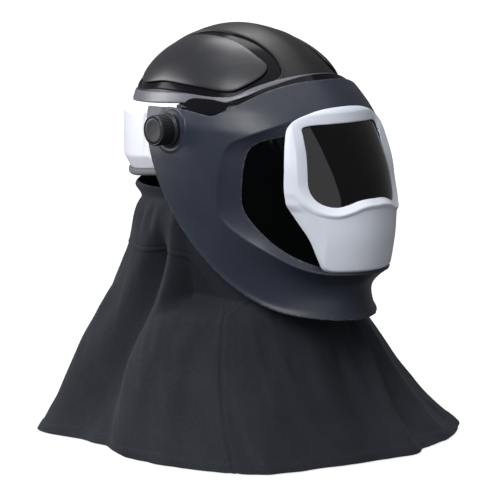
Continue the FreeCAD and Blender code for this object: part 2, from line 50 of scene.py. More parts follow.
# ---- driving dimensions, millimetres ------------------------------------------------------
DOME_Z, DOME_H, DOME_A, DOME_B, DOME_Y, DOME_POWER = 391.0, 95.0, 110.0, 149.0, 15.0, 1.55
DOME_CENTRE = (0, DOME_Y, DOME_Z)
SHELL_CENTRE = (0, 0, 300)   # a point inside the shield and the visor
PIVOT_Z = 371.0
DUCT_FRONT_Y, DUCT_HALF_WIDTH, DUCT_REACH, DUCT_POWER = 4.2, 118, 157, 2.2
SHIELD_REAR = 165.0
SHIELD_ROWS = [
    (150, 95, 184), (176, 100, 195), (202, 106, 204), (230, 113, 210), (262, 119, 213), (290, 123, 213),
    (320, 126.5, 205), (345, 128, 193), (371, 128, 178), (393, 122, 162), (410, 113, 147), (430, 100, 127),
    (445, 89, 113),
]
VISOR_ROWS = [
    (225, 92, 190), (240, 99, 195), (262, 103, 196), (290, 108, 196), (320, 112.5, 188), (345, 115, 177),
    (371, 116.7, 163), (393, 116, 150), (410, 108, 139), (430, 95, 122), (445, 84, 108),
]
# side outlines as (Y, Z); front outlines as (X, Z) from the top down
RIM_EDGE = [
    (175, 391), (60, 396), (0, 400), (-50, 401), (-75, 409), (-100, 424), (-130, 436),
]
TRIM_TOP = [
    (175, 403), (60, 408), (0, 411), (-45, 409), (-66, 411), (-82, 421), (-104, 432), (-130, 442),
]
SHIELD_TOP = [
    (50, 393), (24, 394), (0, 395), (-26, 393), (-47, 390), (-60, 389.5), (-68, 393), (-82, 401),
    (-96, 411), (-110, 421), (-126, 428.5), (-140, 430),
]
SHIELD_REAR_EDGE = [
    (46, 378), (38, 343), (14, 290), (-34, 230), (-60, 205), (-95, 181), (-129, 167), (-165, 161),
    (-190, 158),
]
LIP_CREASE = [
    (-66, 300), (-69, 276), (-96, 256), (-130, 237), (-160, 221), (-182, 214.5), (-215, 213),
]
RECESS_EDGE = [
    (-150, 392), (-131, 381), (-109, 370), (-90, 361), (-82, 352), (-77, 334), (-72, 306), (-70, 284),
    (-76, 270), (-98, 253), (-131, 235.5), (-160, 220.5), (-185, 214.5),
]
WINDOW_EDGE = [
    (-150, 376), (-136, 371.5), (-114, 362.5), (-106.5, 355), (-102, 341), (-97.5, 305), (-97, 288),
    (-102.5, 275), (-118, 257), (-135, 242), (-158, 228), (-185, 216.5),
]
FRAME_EDGE = [
    (0, 400.5), (34, 398), (56, 391.5), (67, 386), (75, 378), (79.5, 366), (85, 340), (88, 312),
    (86.5, 291), (81, 277), (70, 253), (62, 231), (56, 218), (50, 214.5), (30, 213.5), (0, 213.5),
]
OPENING = [
    (0, 384), (26, 383.8), (53, 382.3), (60, 379.5), (62, 371.5), (64.5, 351), (67.5, 332), (68.5, 314),
    (66, 304), (60, 297), (49, 293.5), (38, 296), (24, 301), (10, 303), (0, 303),
]
BEVEL = 9.0                  # width of the frame's slope round its opening
RECESS_DEPTH = 8.6           # how far the side windows are sunk
FACE_PAST = -300             # a Y or X well in front of everything, to close an outline
# the crown panel and its groove, as (Y, angle round the dome from its base in degrees)
PANEL = [
    (96, 19.5), (40, 20), (-20, 18.2), (-61, 18.6), (-74.5, 27), (-83.5, 42), (-79.5, 53), (-62, 57.5),
    (-30, 62.5), (20, 64.2), (60, 63.5), (92, 58), (113, 45), (114, 28),
]
GROOVE = [
    (106, 13.8), (40, 14), (-20, 12.3), (-65, 12.0), (-81, 21), (-96.5, 44), (-92.5, 57), (-77, 65.5),
    (-50, 69.5), (-10, 70.3), (30, 72), (70, 72), (105, 65), (129, 47), (130, 24),
]
DEG_TO_MM = 1.75


# ---- numbers ------------------------------------------------------------------------------
def table(rows, column, z):
    """Shape-preserving cubic through one column of a table of rows."""
    xs = np.array([r[0] for r in rows], float)
    ys = np.array([r[column] for r in rows], float)
    h = np.diff(xs)
    d = np.diff(ys) / h
    m = np.zeros_like(ys)
    for i in range(1, len(xs) - 1):
        if d[i - 1] * d[i] > 0:
            w1, w2 = 2 * h[i] + h[i - 1], h[i] + 2 * h[i - 1]
            m[i] = (w1 + w2) / (w1 / d[i - 1] + w2 / d[i])
    m[0], m[-1] = d[0], d[-1]
    z = np.asarray(z, float)
    i = np.clip(np.searchsorted(xs, z) - 1, 0, len(xs) - 2)
    t = np.clip((z - xs[i]) / h[i], -0.3, 1.3)
    a = (1 + 2 * t) * (1 - t) ** 2 * ys[i] + t * (1 - t) ** 2 * h[i] * m[i]
    return a + t * t * (3 - 2 * t) * ys[i + 1] + t * t * (t - 1) * h[i] * m[i + 1]


def smooth(points, closed=False, per=10):
    """Dense polyline of a centripetal Catmull-Rom curve through the points."""
    p = np.array(points, float)
    n = len(p)
    out = []
    for start in range(n if closed else n - 1):
        q = [p[(start + k) % n] if closed else p[min(max(start + k, 0), n - 1)] for k in (-1, 0, 1, 2)]
        if not closed and start == 0:
            q[0] = 2 * q[1] - q[2]
        if not closed and start == n - 2:
            q[3] = 2 * q[2] - q[1]
        k = [0.0]
        for a, b in zip(q, q[1:]):
            k.append(k[-1] + max(np.linalg.norm(b - a), 1e-6) ** 0.5)
        for s in range(per):
            t = k[1] + (k[2] - k[1]) * s / per
            w = q
            for spans in (((0, 1), (1, 2), (2, 3)), ((0, 2), (1, 3)), ((1, 2),)):
                w = [(k[j] - t) / (k[j] - k[i]) * a + (t - k[i]) / (k[j] - k[i]) * b
                     for (i, j), a, b in zip(spans, w, w[1:])]
            out.append(w[0])
    if not closed:
        out.append(p[-1])
    return np.array(out)


def distance(x, y, line):
    """Distance from each (x, y) to a polyline."""
    shape = x.shape
    q = np.stack([x.ravel(), y.ravel()], 1)
    a, b = line[:-1], line[1:]
    d = b - a
    dd = np.maximum((d * d).sum(1), 1e-12)
    out = np.empty(len(q))
    for s in range(0, len(q), 20000):
        w = q[s:s + 20000, None, :] - a[None]
        t = np.clip((w * d[None]).sum(2) / dd, 0, 1)
        out[s:s + 20000] = np.sqrt(((w - t[..., None] * d[None]) ** 2).sum(2).min(1))
    return out.reshape(shape)


def inside(x, y, ring):
    """Signed distance to a closed ring, positive inside."""
    ring = np.vstack([ring, ring[:1]])
    d = distance(x, y, ring)
    hit = np.zeros(x.shape, bool)
    for (x0, y0), (x1, y1) in zip(ring[:-1], ring[1:]):
        if y0 != y1:
            cross = (y0 > y) != (y1 > y)
            hit ^= cross & (x < (x1 - x0) * (y - y0) / (y1 - y0) + x0)
    return np.where(hit, d, -d)


def closed_by(line, *corners):
    return np.vstack([line, np.array(corners, float)])


def mirrored(half):
    """Closed smooth ring from the right half of a symmetric front outline."""
    return smooth(half + [(-x, z) for x, z in half[-2:0:-1]], closed=True)


def step(x, a, b):
    t = np.clip((x - a) / (b - a), 0, 1)
    return t * t * (3 - 2 * t)


def value_noise(x, y, seed):
    """Smooth repeatable noise in -1..1."""
    rng = np.random.default_rng(seed)
    grid = rng.uniform(-1, 1, (64, 64))
    xi, yi = np.floor(x).astype(int), np.floor(y).astype(int)
    fx, fy = x - xi, y - yi
    fx, fy = fx * fx * (3 - 2 * fx), fy * fy * (3 - 2 * fy)
    g = lambda i, j: grid[(xi + i) % 64, (yi + j) % 64]
    return (g(0, 0) * (1 - fx) + g(1, 0) * fx) * (1 - fy) + (g(0, 1) * (1 - fx) + g(1, 1) * fx) * fy


# ---- meshes -------------------------------------------------------------------------------
def ring_faces(rings, per, start=0, flip=False):
    """Quads between rings of points, without the two ends."""
    faces = []
    for i in range(start, start + (rings - 1) * per, per):
        for k in range(per):
            a, b = i + k, i + (k + 1) % per
            quad = [a, b, b + per, a + per]
            faces.append(quad[::-1] if flip else quad)
    return faces


def end_faces(rings, per, start=0, flip=False):
    """The two faces that close a tube of rings."""
    first, last = [list(range(i, i + per)) for i in (start, start + (rings - 1) * per)]
    return [first, last[::-1]] if flip else [first[::-1], last]


def grid_normals(p, outward):
    """Unit normals of a grid of points, on the side that faces away from the inner point."""
    n = np.cross(np.gradient(p, axis=1), np.gradient(p, axis=0))
    n /= np.maximum(np.linalg.norm(n, axis=2, keepdims=True), 1e-9)
    flip = np.sign(((p - outward) * n).sum(2).mean())
    return n * (1 if flip == 0 else flip)


def trim(p, n, g, extra):
    """Cut a grid where g < 0. Returns vertices, normals, extra fields and polygons."""
    g = g.copy()
    p = p.copy()
    best = np.full(g.shape, 1.0)
    move = np.zeros_like(p)
    for axis, shift in ((0, 1), (0, -1), (1, 1), (1, -1)):
        gn, pn = np.roll(g, shift, axis), np.roll(p, shift, axis)
        edge = np.zeros(g.shape, bool)
        index = [slice(None)] * 2
        index[axis] = 0 if shift == 1 else -1
        edge[tuple(index)] = True
        cross = (g * gn < 0) & ~edge
        t = np.where(cross, np.abs(g) / np.maximum(np.abs(g) + np.abs(gn), 1e-12), 1.0)
        use = (t < 0.33) & (t < best)
        best = np.where(use, t, best)
        move = np.where(use[..., None], (pn - p) * t[..., None], move)
    snapped = best < 1.0
    p += move
    g[snapped] = 0.0
    rows, cols = g.shape
    index = np.arange(rows * cols).reshape(rows, cols)
    corners = np.stack([index[:-1, :-1], index[:-1, 1:], index[1:, 1:], index[1:, :-1]], -1).reshape(-1, 4)
    gf = g.ravel()
    gc = gf[corners]
    whole = (gc >= 0).all(1) & (gc > 0).any(1)
    faces = corners[whole].tolist()
    verts, norms = list(p.reshape(-1, 3)), list(n.reshape(-1, 3))
    fields = {k: list(v.ravel()) for k, v in extra.items()}
    cuts = {}
    for quad in corners[(gc > 0).any(1) & (gc < 0).any(1)]:
        poly = []
        for a, b in zip(quad, np.roll(quad, -1)):
            if gf[a] >= 0:
                poly.append(int(a))
            if gf[a] * gf[b] < 0:
                key = (min(a, b), max(a, b))
                if key not in cuts:
                    t = gf[a] / (gf[a] - gf[b])
                    cuts[key] = len(verts)
                    verts.append(verts[a] * (1 - t) + verts[b] * t)
                    norms.append(norms[a] * (1 - t) + norms[b] * t)
                    for values in fields.values():
                        values.append(values[a] * (1 - t) + values[b] * t)
                poly.append(cuts[key])
        if len(poly) >= 3:
            faces.append(poly)
    used = np.zeros(len(verts), bool)
    for f in faces:
        used[f] = True
    new = np.cumsum(used) - 1
    verts = np.array(verts)[used]
    norms = np.array(norms)[used]
    norms /= np.maximum(np.linalg.norm(norms, axis=1, keepdims=True), 1e-9)
    fields = {k: np.array(v)[used] for k, v in fields.items()}
    return verts, norms, fields, [[int(new[i]) for i in f] for f in faces]


def open_edges(faces):
    seen = {}
    for f in faces:
        for a, b in zip(f, f[1:] + f[:1]):
            seen[(a, b)] = seen.get((a, b), 0) + 1
    return [(a, b) for a, b in seen if (b, a) not in seen]


def thicken(verts, norms, fields, faces, thickness, round_out=0.8, round_in=0.4):
    """Give a trimmed sheet a thickness, with rounded rims. thickness may vary per vertex."""
    thickness = np.broadcast_to(np.asarray(thickness, float), (len(verts),))
    sample = np.array([f[:3] for f in faces[:400]])
    a, b, c = (verts[column] for column in sample.T)
    if (np.cross(b - a, c - b) * norms[sample[:, 0]]).sum() < 0:
        faces = [f[::-1] for f in faces]
    edges = open_edges(faces)
    out = np.zeros_like(verts)
    for i, j in edges:
        side = np.cross(verts[j] - verts[i], (norms[i] + norms[j]) / 2)
        out[i] += side
        out[j] += side
    rim = sorted({i for e in edges for i in e})
    length = np.linalg.norm(out[rim], axis=1, keepdims=True)
    out[rim] /= np.maximum(length, 1e-9)
    count = len(verts)
    inner = verts - norms * thickness[:, None]
    rim = np.array(rim)
    rows = []
    for turn in np.arange(1, 4) / 3 * pi / 2:
        rows.append((round_out * sin(turn), round_out * (1 - cos(turn))))
    turn = pi / 4
    rows.append((round_in * cos(turn) + (round_out - round_in) / 2,
                 thickness[rim] - round_in * (1 - sin(turn))))
    points = [verts, inner]
    place = {int(i): k for k, i in enumerate(rim)}
    layers = [rim]
    total = 2 * count
    for reach, depth in rows:
        ring = verts[rim] + out[rim] * reach - norms[rim] * np.reshape(depth, (-1, 1))
        points.append(ring)
        layers.append(np.arange(total, total + len(rim)))
        total += len(rim)
    layers.append(rim + count)
    sides = []
    for i, j in edges:
        a, b = place[i], place[j]
        for low, high in zip(layers[:-1], layers[1:]):
            sides.append([int(low[b]), int(low[a]), int(high[a]), int(high[b])])
    whole = faces + [[i + count for i in f[::-1]] for f in faces] + sides
    extra = {}
    for k, v in fields.items():
        extra[k] = np.concatenate([v, v] + [v[rim]] * (len(layers) - 2))
    return np.concatenate(points), extra, whole


def add_object(name, data):
    obj = bpy.data.objects.new(name, data)
    bpy.context.scene.collection.objects.link(obj)
    return obj


def add_mesh(name, verts, faces, fields=None):
    """Blender object from millimetre vertices, shaded smooth."""
    mesh = bpy.data.meshes.new(name)
    mesh.from_pydata((np.asarray(verts) * MM).tolist(), [], faces)
    for key, values in (fields or {}).items():
        layer = mesh.attributes.new(key, "FLOAT", "POINT")
        layer.data.foreach_set("value", np.asarray(values, np.float32))
    mesh.validate()
    mesh.polygons.foreach_set("use_smooth", [True] * len(mesh.polygons))
    mesh.update()
    return add_object(name, mesh)


def weld(obj):
    """Merge doubled points, as along the seam and pole of a closed grid."""
    bm = bmesh.new()
    bm.from_mesh(obj.data)
    bmesh.ops.remove_doubles(bm, verts=bm.verts, dist=0.02 * MM)
    bmesh.ops.dissolve_degenerate(bm, edges=bm.edges, dist=1e-7)
    bm.normal_update()
    bm.to_mesh(obj.data)
    bm.free()
    return obj


def merge_points(verts, norms, fields, faces):
    """Join points that coincide, as along the seam and pole of a closed grid."""
    first, same = np.unique(np.round(verts, 3), axis=0, return_index=True, return_inverse=True)[1:]
    same = same.ravel()
    joined = []
    for face in faces:
        ids = [int(same[i]) for i in face]
        ids = [a for a, b in zip(ids, ids[1:] + ids[:1]) if a != b]
        if len(set(ids)) >= 3:
            joined.append(ids)
    return verts[first], norms[first], {k: v[first] for k, v in fields.items()}, joined


def plate(name, p, g, thickness, centre, fields=None, round_out=0.8, round_in=0.4):
    """Trimmed, thickened piece from a grid of outer points."""
    n = grid_normals(p, centre)
    extra = dict(fields or {})
    extra["edge"] = np.minimum(g, 50)
    if not np.isscalar(thickness):
        extra["thick"] = thickness
    verts, norms, kept, faces = merge_points(*trim(p, n, g, extra))
    t = kept.pop("thick") if "thick" in kept else thickness
    verts, kept, faces = thicken(verts, norms, kept, faces, t, round_out, round_in)
    return add_mesh(name, verts, faces, kept)


def finish_piece(obj, body, slot, *nodes):
    """Rides a body, stands for CAD nodes if any are given, and wears the material of its slot."""
    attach(obj, body)
    if nodes:
        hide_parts(*nodes)
    obj.data.materials.clear()
    obj.data.materials.append(MATERIALS[slot])


def lathe_x(profile, count, centre, side, ripple=None):
    """Closed solid turned about an axis along X. profile: (x, radius) from one end to the other."""
    verts = []
    for x, r in profile:
        for k in range(count):
            a = 2 * pi * k / count
            rr = r if ripple is None else ripple(x, r, a)
            verts.append((side * x, centre[0] + rr * cos(a), centre[1] + rr * sin(a)))
    tube = (len(profile), count, 0, side > 0)
    return np.array(verts), ring_faces(*tube) + end_faces(*tube)


# ---- materials ----------------------------------------------------------------------------
GLOSS_SPREAD = 0.05          # how far handling marks move a plastic's roughness
SHELL_SPECULAR = 0.32


def node(tree, kind, **values):
    made = tree.nodes.new(kind)
    for key, value in values.items():
        if key in made.inputs.keys():
            made.inputs[key].default_value = value
        else:
            setattr(made, key, value)
    return made


def noise(tree, place, **values):
    """Noise over the object's own coordinates."""
    made = node(tree, "ShaderNodeTexNoise", **values)
    tree.links.new(place, made.inputs["Vector"])
    return made.outputs["Fac"]


def maths(tree, operation, first, second=None):
    """A Math node; second is a socket, a number or nothing."""
    made = node(tree, "ShaderNodeMath", operation=operation)
    tree.links.new(first, made.inputs[0])
    if isinstance(second, float):
        made.inputs[1].default_value = second
    elif second is not None:
        tree.links.new(second, made.inputs[1])
    return made.outputs[0]


def bump(tree, shader, height, strength, depth):
    made = node(tree, "ShaderNodeBump", Strength=strength, Distance=depth * MM)
    tree.links.new(height, made.inputs["Height"])
    tree.links.new(made.outputs["Normal"], shader.inputs["Normal"])


def mix(tree, factor, first, second, kind="RGBA"):
    """Mixes a socket or value with a value, and returns the result's socket."""
    made = node(tree, "ShaderNodeMix", data_type="RGBA" if kind == "RGBA" else "FLOAT")
    ends = [s for s in made.inputs if s.type == kind and s.name in ("A", "B")]
    if isinstance(first, bpy.types.NodeSocket):
        tree.links.new(first, ends[0])
    else:
        ends[0].default_value = first
    ends[1].default_value = second
    tree.links.new(factor, made.inputs["Factor"])
    return [s for s in made.outputs if s.type == kind][0]


def base_material(name):
    mat = bpy.data.materials.new(name)
    mat.use_nodes = True
    tree = mat.node_tree
    shader = tree.nodes["Principled BSDF"]
    coords = node(tree, "ShaderNodeTexCoord")
    return mat, tree, shader, coords.outputs["Object"]


def ramp(tree, source, low, high, a, b):
    """Map a value range onto another, clamped."""
    made = node(tree, "ShaderNodeMapRange")
    made.inputs["From Min"].default_value = low
    made.inputs["From Max"].default_value = high
    made.inputs["To Min"].default_value = a
    made.inputs["To Max"].default_value = b
    tree.links.new(source, made.inputs["Value"])
    return made.outputs["Result"]


def tint(tree, factor, dark, light):
    return mix(tree, factor, (*dark, 1), (*light, 1))


def drift(tree, place, dark, light, **values):
    """Slow change between two colours over the object."""
    return tint(tree, ramp(tree, noise(tree, place, **values), 0.3, 0.7, 0.0, 1.0), dark, light)


def plastic(name, dark, light, rough, grain=1800.0, depth=0.02, wear=None, specular=0.5):
    """Moulded plastic: fine grain, slow colour drift and handling marks, and worn edges if asked for."""
    mat, tree, shader, place = base_material(name)
    link = tree.links.new
    colour = drift(tree, place, dark, light, Scale=14.0, Detail=4.0)
    if wear:
        edge = node(tree, "ShaderNodeAttribute", attribute_name="edge")
        near = ramp(tree, edge.outputs["Fac"], 0.0, 1.6, 1.0, 0.0)
        spots = ramp(tree, noise(tree, place, Scale=260.0, Detail=6.0), 0.45, 0.62, 0.0, 0.8)
        colour = mix(tree, maths(tree, "MULTIPLY", near, spots), colour, (*wear, 1))
    link(colour, shader.inputs["Base Color"])
    smear = noise(tree, place, Scale=38.0, Detail=7.0, Roughness=0.65)
    link(ramp(tree, smear, 0.3, 0.7, rough - GLOSS_SPREAD, rough + GLOSS_SPREAD),
         shader.inputs["Roughness"])
    bump(tree, shader, noise(tree, place, Scale=grain, Detail=2.0), 0.35, depth)
    shader.inputs["Specular IOR Level"].default_value = specular
    return mat


def helmet_plastic():
    """Matt shell with a polished black groove where the attribute 'groove' is positive."""
    mat = plastic("helmet_shell_plastic", (0.009, 0.009, 0.0105), (0.012, 0.012, 0.014), 0.42)
    tree = mat.node_tree
    inputs = tree.nodes["Principled BSDF"].inputs
    zone = node(tree, "ShaderNodeAttribute", attribute_name="groove")
    gloss = ramp(tree, zone.outputs["Fac"], -0.15, 0.15, 0.0, 1.0)
    rough, colour = [inputs[key].links[0].from_socket for key in ("Roughness", "Base Color")]
    tree.links.new(mix(tree, gloss, rough, 0.16, "VALUE"), inputs["Roughness"])
    tree.links.new(mix(tree, gloss, SHELL_SPECULAR, 0.07, "VALUE"), inputs["Specular IOR Level"])
    tree.links.new(mix(tree, gloss, colour, (0.006, 0.006, 0.008, 1)), inputs["Base Color"])
    return mat


def dark_glass(name, colour, rough, specular):
    """Polished dark lens with faint wipe marks."""
    mat, tree, shader, place = base_material(name)
    link = tree.links.new
    wipe = noise(tree, place, Scale=30.0, Detail=8.0, Distortion=1.2)
    link(ramp(tree, wipe, 0.35, 0.75, rough, rough * 2.2), shader.inputs["Roughness"])
    link(tint(tree, noise(tree, place, Scale=9.0), colour, [c * 1.5 + 0.001 for c in colour]),
         shader.inputs["Base Color"])
    shader.inputs["Specular IOR Level"].default_value = specular
    shader.inputs["IOR"].default_value = 1.5
    return mat


def clear_lens(name):
    mat = dark_glass(name, (0.8, 0.84, 0.86), 0.03, 0.5)
    shader = mat.node_tree.nodes["Principled BSDF"]
    shader.inputs["Transmission Weight"].default_value = 0.96
    shader.inputs["IOR"].default_value = 1.05
    return mat


def thread_lines(tree, place, measured):
    """Two crossed distances in mm, along the cloth if it was measured, else slanting across the object."""
    if measured:
        return [node(tree, "ShaderNodeAttribute", attribute_name=key).outputs["Fac"] for key in ("warp",
                                                                                                 "weft")]
    lines = []
    for slant in ((1000.0, 0.0, 1000.0), (0.0, 1000.0, -1000.0)):
        along = node(tree, "ShaderNodeVectorMath", operation="DOT_PRODUCT")
        along.inputs[1].default_value = slant
        tree.links.new(place, along.inputs[0])
        lines.append(along.outputs["Value"])
    return lines


def fabric(name, dark, light, pitch=0.9, sheen=0.35, weave_depth=0.12, measured=False):
    """Plain weave from two crossed waves, with soft colour drift, lint and a dusty sheen."""
    mat, tree, shader, place = base_material(name)
    link = tree.links.new
    waves = []
    for source in thread_lines(tree, place, measured):
        waves.append(maths(tree, "SINE", maths(tree, "MULTIPLY", source, 2 * pi / pitch)))
    link(drift(tree, place, dark, light, Scale=11.0, Detail=6.0, Roughness=0.6),
         shader.inputs["Base Color"])
    lint = noise(tree, place, Scale=420.0, Detail=3.0)
    link(ramp(tree, lint, 0.3, 0.7, 0.72, 0.95), shader.inputs["Roughness"])
    height = node(tree, "ShaderNodeMath", operation="MULTIPLY_ADD")
    height.inputs[1].default_value = 0.35
    link(maths(tree, "MULTIPLY", *waves), height.inputs[0])
    link(lint, height.inputs[2])
    bump(tree, shader, height.outputs[0], 0.5, weave_depth)
    shader.inputs["Sheen Weight"].default_value = sheen
    shader.inputs["Sheen Roughness"].default_value = 0.45
    shader.inputs["Sheen Tint"].default_value = (0.75, 0.8, 0.95, 1)
    shader.inputs["Specular IOR Level"].default_value = 0.2
    return mat


def metal(name, colour, rough):
    mat = plastic(name, colour, [min(c * 1.15, 1) for c in colour], rough, grain=900.0, depth=0.01)
    mat.node_tree.nodes["Principled BSDF"].inputs["Metallic"].default_value = 1.0
    return mat


MATERIALS = {
    "helmet_black": helmet_plastic(),
    "crown_grey": plastic("crown_panel_plastic", (0.017, 0.017, 0.021), (0.021, 0.022, 0.027), 0.33,
                          grain=1500, specular=0.38),
    "trim_silver": plastic("trim_paint", (0.10, 0.10, 0.125), (0.13, 0.13, 0.155), 0.3, grain=1500),
    "duct_white": plastic("duct_white_plastic", (0.80, 0.82, 0.90), (0.83, 0.85, 0.93), 0.38, depth=0.01,
                          specular=0.3),
    "collar_grey": plastic("collar_rubber", (0.10, 0.105, 0.12), (0.14, 0.145, 0.16), 0.6, grain=900,
                           depth=0.05),
    "inner_black": plastic("inner_black_plastic", (0.012, 0.012, 0.013), (0.02, 0.02, 0.022), 0.5,
                           depth=0.03),
    "steel": metal("zinc_steel", (0.55, 0.55, 0.56), 0.32),
    "padding": fabric("pad_fabric", (0.02, 0.02, 0.024), (0.04, 0.04, 0.046), pitch=1.3, weave_depth=0.2),
    "webbing": fabric("strap_webbing", (0.03, 0.03, 0.034), (0.05, 0.05, 0.056), pitch=2.2,
                      weave_depth=0.3),
    "shroud_fabric": fabric("shroud_cotton", (0.0125, 0.0145, 0.0205), (0.018, 0.0205, 0.028), sheen=0.05,
                            measured=True),
    "visor_black": dark_glass("visor_black_gloss", (0.004, 0.004, 0.006), 0.07, 0.13),
    "visor_clear": clear_lens("visor_polycarbonate"),
    "seal_black": plastic("seal_foam", (0.01, 0.01, 0.01), (0.016, 0.016, 0.016), 0.8, grain=600,
                          depth=0.1),
    "shield_grey": plastic("shield_plastic", (0.021, 0.0255, 0.039), (0.025, 0.030, 0.046), 0.37,
                           grain=1600, specular=0.34,
                           wear=(0.08, 0.085, 0.1)),
    "frame_silver": plastic("frame_paint", (0.66, 0.70, 0.79), (0.69, 0.73, 0.82), 0.36, grain=2000,
                            depth=0.01),
    "window_dark": dark_glass("side_window_tint", (0.0004, 0.0006, 0.0008), 0.05, 0.05),
    "plate_clear": dark_glass("cover_plate_gloss", (0.0004, 0.0004, 0.0006), 0.015, 0.5),
    "filter_dark": dark_glass("filter_glass", (0.002, 0.003, 0.004), 0.03, 0.5),
    "knob_black": plastic("knob_plastic", (0.009, 0.0095, 0.0125), (0.012, 0.0125, 0.016), 0.34, grain=1300,
                          depth=0.008,
                          specular=0.35),
}


# ---- hard hat -----------------------------------------------------------------------------
def dome_grid(rows, cols, s0=0.0, s1=1.0, a0=0.0, a1=360.0):
    """Grid over the dome: base points, outward normals, and the angle from the base line in degrees."""
    s, a = np.linspace(s0, s1, rows), np.radians(np.linspace(a0, a1, cols))
    angle, level = np.meshgrid(a, s)
    rho, zeta = np.cos(pi / 2 * level), np.sin(pi / 2 * level) ** (2 / DOME_POWER)
    p = np.stack([DOME_A * rho * np.cos(angle), DOME_Y + DOME_B * rho * np.sin(angle),
                  DOME_Z + DOME_H * zeta], -1)
    slope = np.stack([
        2 * p[..., 0] / DOME_A ** 2, 2 * (p[..., 1] - DOME_Y) / DOME_B ** 2,
        DOME_POWER * np.maximum(zeta, 1e-6) ** (DOME_POWER - 1) / DOME_H,
    ], -1)
    n = slope / np.linalg.norm(slope, axis=2, keepdims=True)
    rise = np.degrees(np.arctan2(zeta, np.abs(p[..., 0]) / DOME_A))
    return p, n, rise


def above(y, z, line):
    """Signed distance to a side line, positive above it."""
    curve = smooth(line)
    ring = closed_by(curve, (curve[-1][0], 900), (curve[0][0], 900))
    return inside(y, z, ring)


def helmet_shell():
    p, n, rise = dome_grid(210, 721)
    y, z = p[..., 1], p[..., 2]
    groove = inside(y, rise * DEG_TO_MM, smooth([(a, b * DEG_TO_MM) for a, b in GROOVE], closed=True))
    depth = -2.4 * step(groove, -0.3, 1.1) + 0.5 * np.exp(-((groove + 1.3) / 1.2) ** 2)
    ridge = 1.3 * np.exp(-(p[..., 0] / 16) ** 2) * step(z, 440, 475)
    p = p + n * (depth + ridge)[..., None]
    obj = plate("helmet_shell_outer", p, above(y, z, RIM_EDGE), 3.0, DOME_CENTRE, {"groove": groove})
    finish_piece(weld(obj), "helmet", "helmet_black", "helmet_shell")


def rim_trim():
    p, n, _ = dome_grid(70, 700, 0.0, 0.62)
    y, z = p[..., 1], p[..., 2]
    g = np.minimum(above(y, z, RIM_EDGE), -above(y, z, TRIM_TOP)) - 0.6
    shape = 1.2 + 0.4 * np.exp(-((above(y, z, RIM_EDGE) - 2.2) / 1.6) ** 2)
    obj = plate("rim_band", p + n * shape[..., None], g, 1.3, DOME_CENTRE, None, 0.6, 0.1)
    finish_piece(weld(obj), "helmet", "trim_silver", "rim_trim")


def crown_panel(side, name):
    a0, a1 = (95, 285) if side < 0 else (-105, 85)
    p, n, rise = dome_grid(130, 260, 0.04, 0.93, a0, a1)
    y = p[..., 1]
    leaf = inside(y, rise * DEG_TO_MM, smooth([(a, b * DEG_TO_MM) for a, b in PANEL], closed=True))
    leaf = np.where(p[..., 0] * side > 0, leaf, -5.0)
    d = np.maximum(leaf, 0)
    swell = 0.2 + 0.9 * (1 - np.exp(-d / 2.0)) + 2.6 * (1 - np.exp(-d / 26))
    obj = plate(name, p + n * swell[..., None], leaf - 1.0, 3.0, DOME_CENTRE, None, 1.0, 0.3)
    node_name = "crown_panel_right" if side < 0 else "crown_panel_left"
    finish_piece(obj, "helmet", "crown_grey", node_name)


def swept_band(name, section, squeeze):
    """Closed section (outward offset, z) carried round the back of the head from ear to ear."""
    t = np.linspace(0, pi, 360)
    cx = np.sign(np.cos(t)) * np.abs(np.cos(t)) ** (2 / DUCT_POWER)
    sy = np.abs(np.sin(t)) ** (2 / DUCT_POWER)
    path = [(DUCT_HALF_WIDTH * a, DOME_Y + DUCT_REACH * b) for a, b in zip(cx, sy)]
    runs = np.linspace(DUCT_FRONT_Y, DOME_Y, 8)[:-1]
    path = np.array([(DUCT_HALF_WIDTH, y) for y in runs] + path + [(-DUCT_HALF_WIDTH,
                                                                    y) for y in runs[::-1]])
    tangent = np.gradient(path, axis=0)
    tangent /= np.linalg.norm(tangent, axis=1, keepdims=True)
    normal = np.stack([tangent[:, 1], -tangent[:, 0]], 1)
    verts = [squeeze(x + nx * off, y + ny * off, z) for (x, y), (nx, ny) in zip(path, normal) for off,
             z in section]
    tube = (len(path), len(section))
    return add_mesh(name, verts, ring_faces(*tube) + end_faces(*tube))


def rounded_section(corners, radius, per=5):
    """Closed polygon (u, z) with rounded corners."""
    pts = np.array(corners, float)
    out = []
    for i, p in enumerate(pts):
        a, b = pts[i - 1] - p, pts[(i + 1) % len(pts)] - p
        la, lb = np.linalg.norm(a), np.linalg.norm(b)
        r = min(radius, la * 0.45, lb * 0.45)
        s, e = p + a / la * r, p + b / lb * r
        for k in range(per + 1):
            t = k / per
            out.append(tuple((1 - t) ** 2 * s + 2 * t * (1 - t) * p + t * t * e))
    return out


def rim_height(y):
    curve = smooth(RIM_EDGE)
    order = np.argsort(curve[:, 0])
    return np.interp(y, curve[order, 0], curve[order, 1])


def lower_rise(y):
    """The duct's lower edge climbs towards the ears."""
    return 8.0 * step(np.asarray(y, float), 120, 25)


def lip_squeeze(x, y, z):
    return x, y, z + lower_rise(y)


def duct_squeeze(x, y, z):
    """Follow the rim along the top, and flatten beside the pivot where the shield's arm swings."""
    top = rim_height(y) - 0.4
    if z > 380:
        z = 380 + (z - 380) * (top - 380) / 14.0
    z += lower_rise(y) * step(z, 350, 318)
    reach = np.hypot(y, z - PIVOT_Z)
    free = 112.4 + 8 * step(reach, 58.5, 66)
    return np.sign(x) * min(abs(x), free), y, z


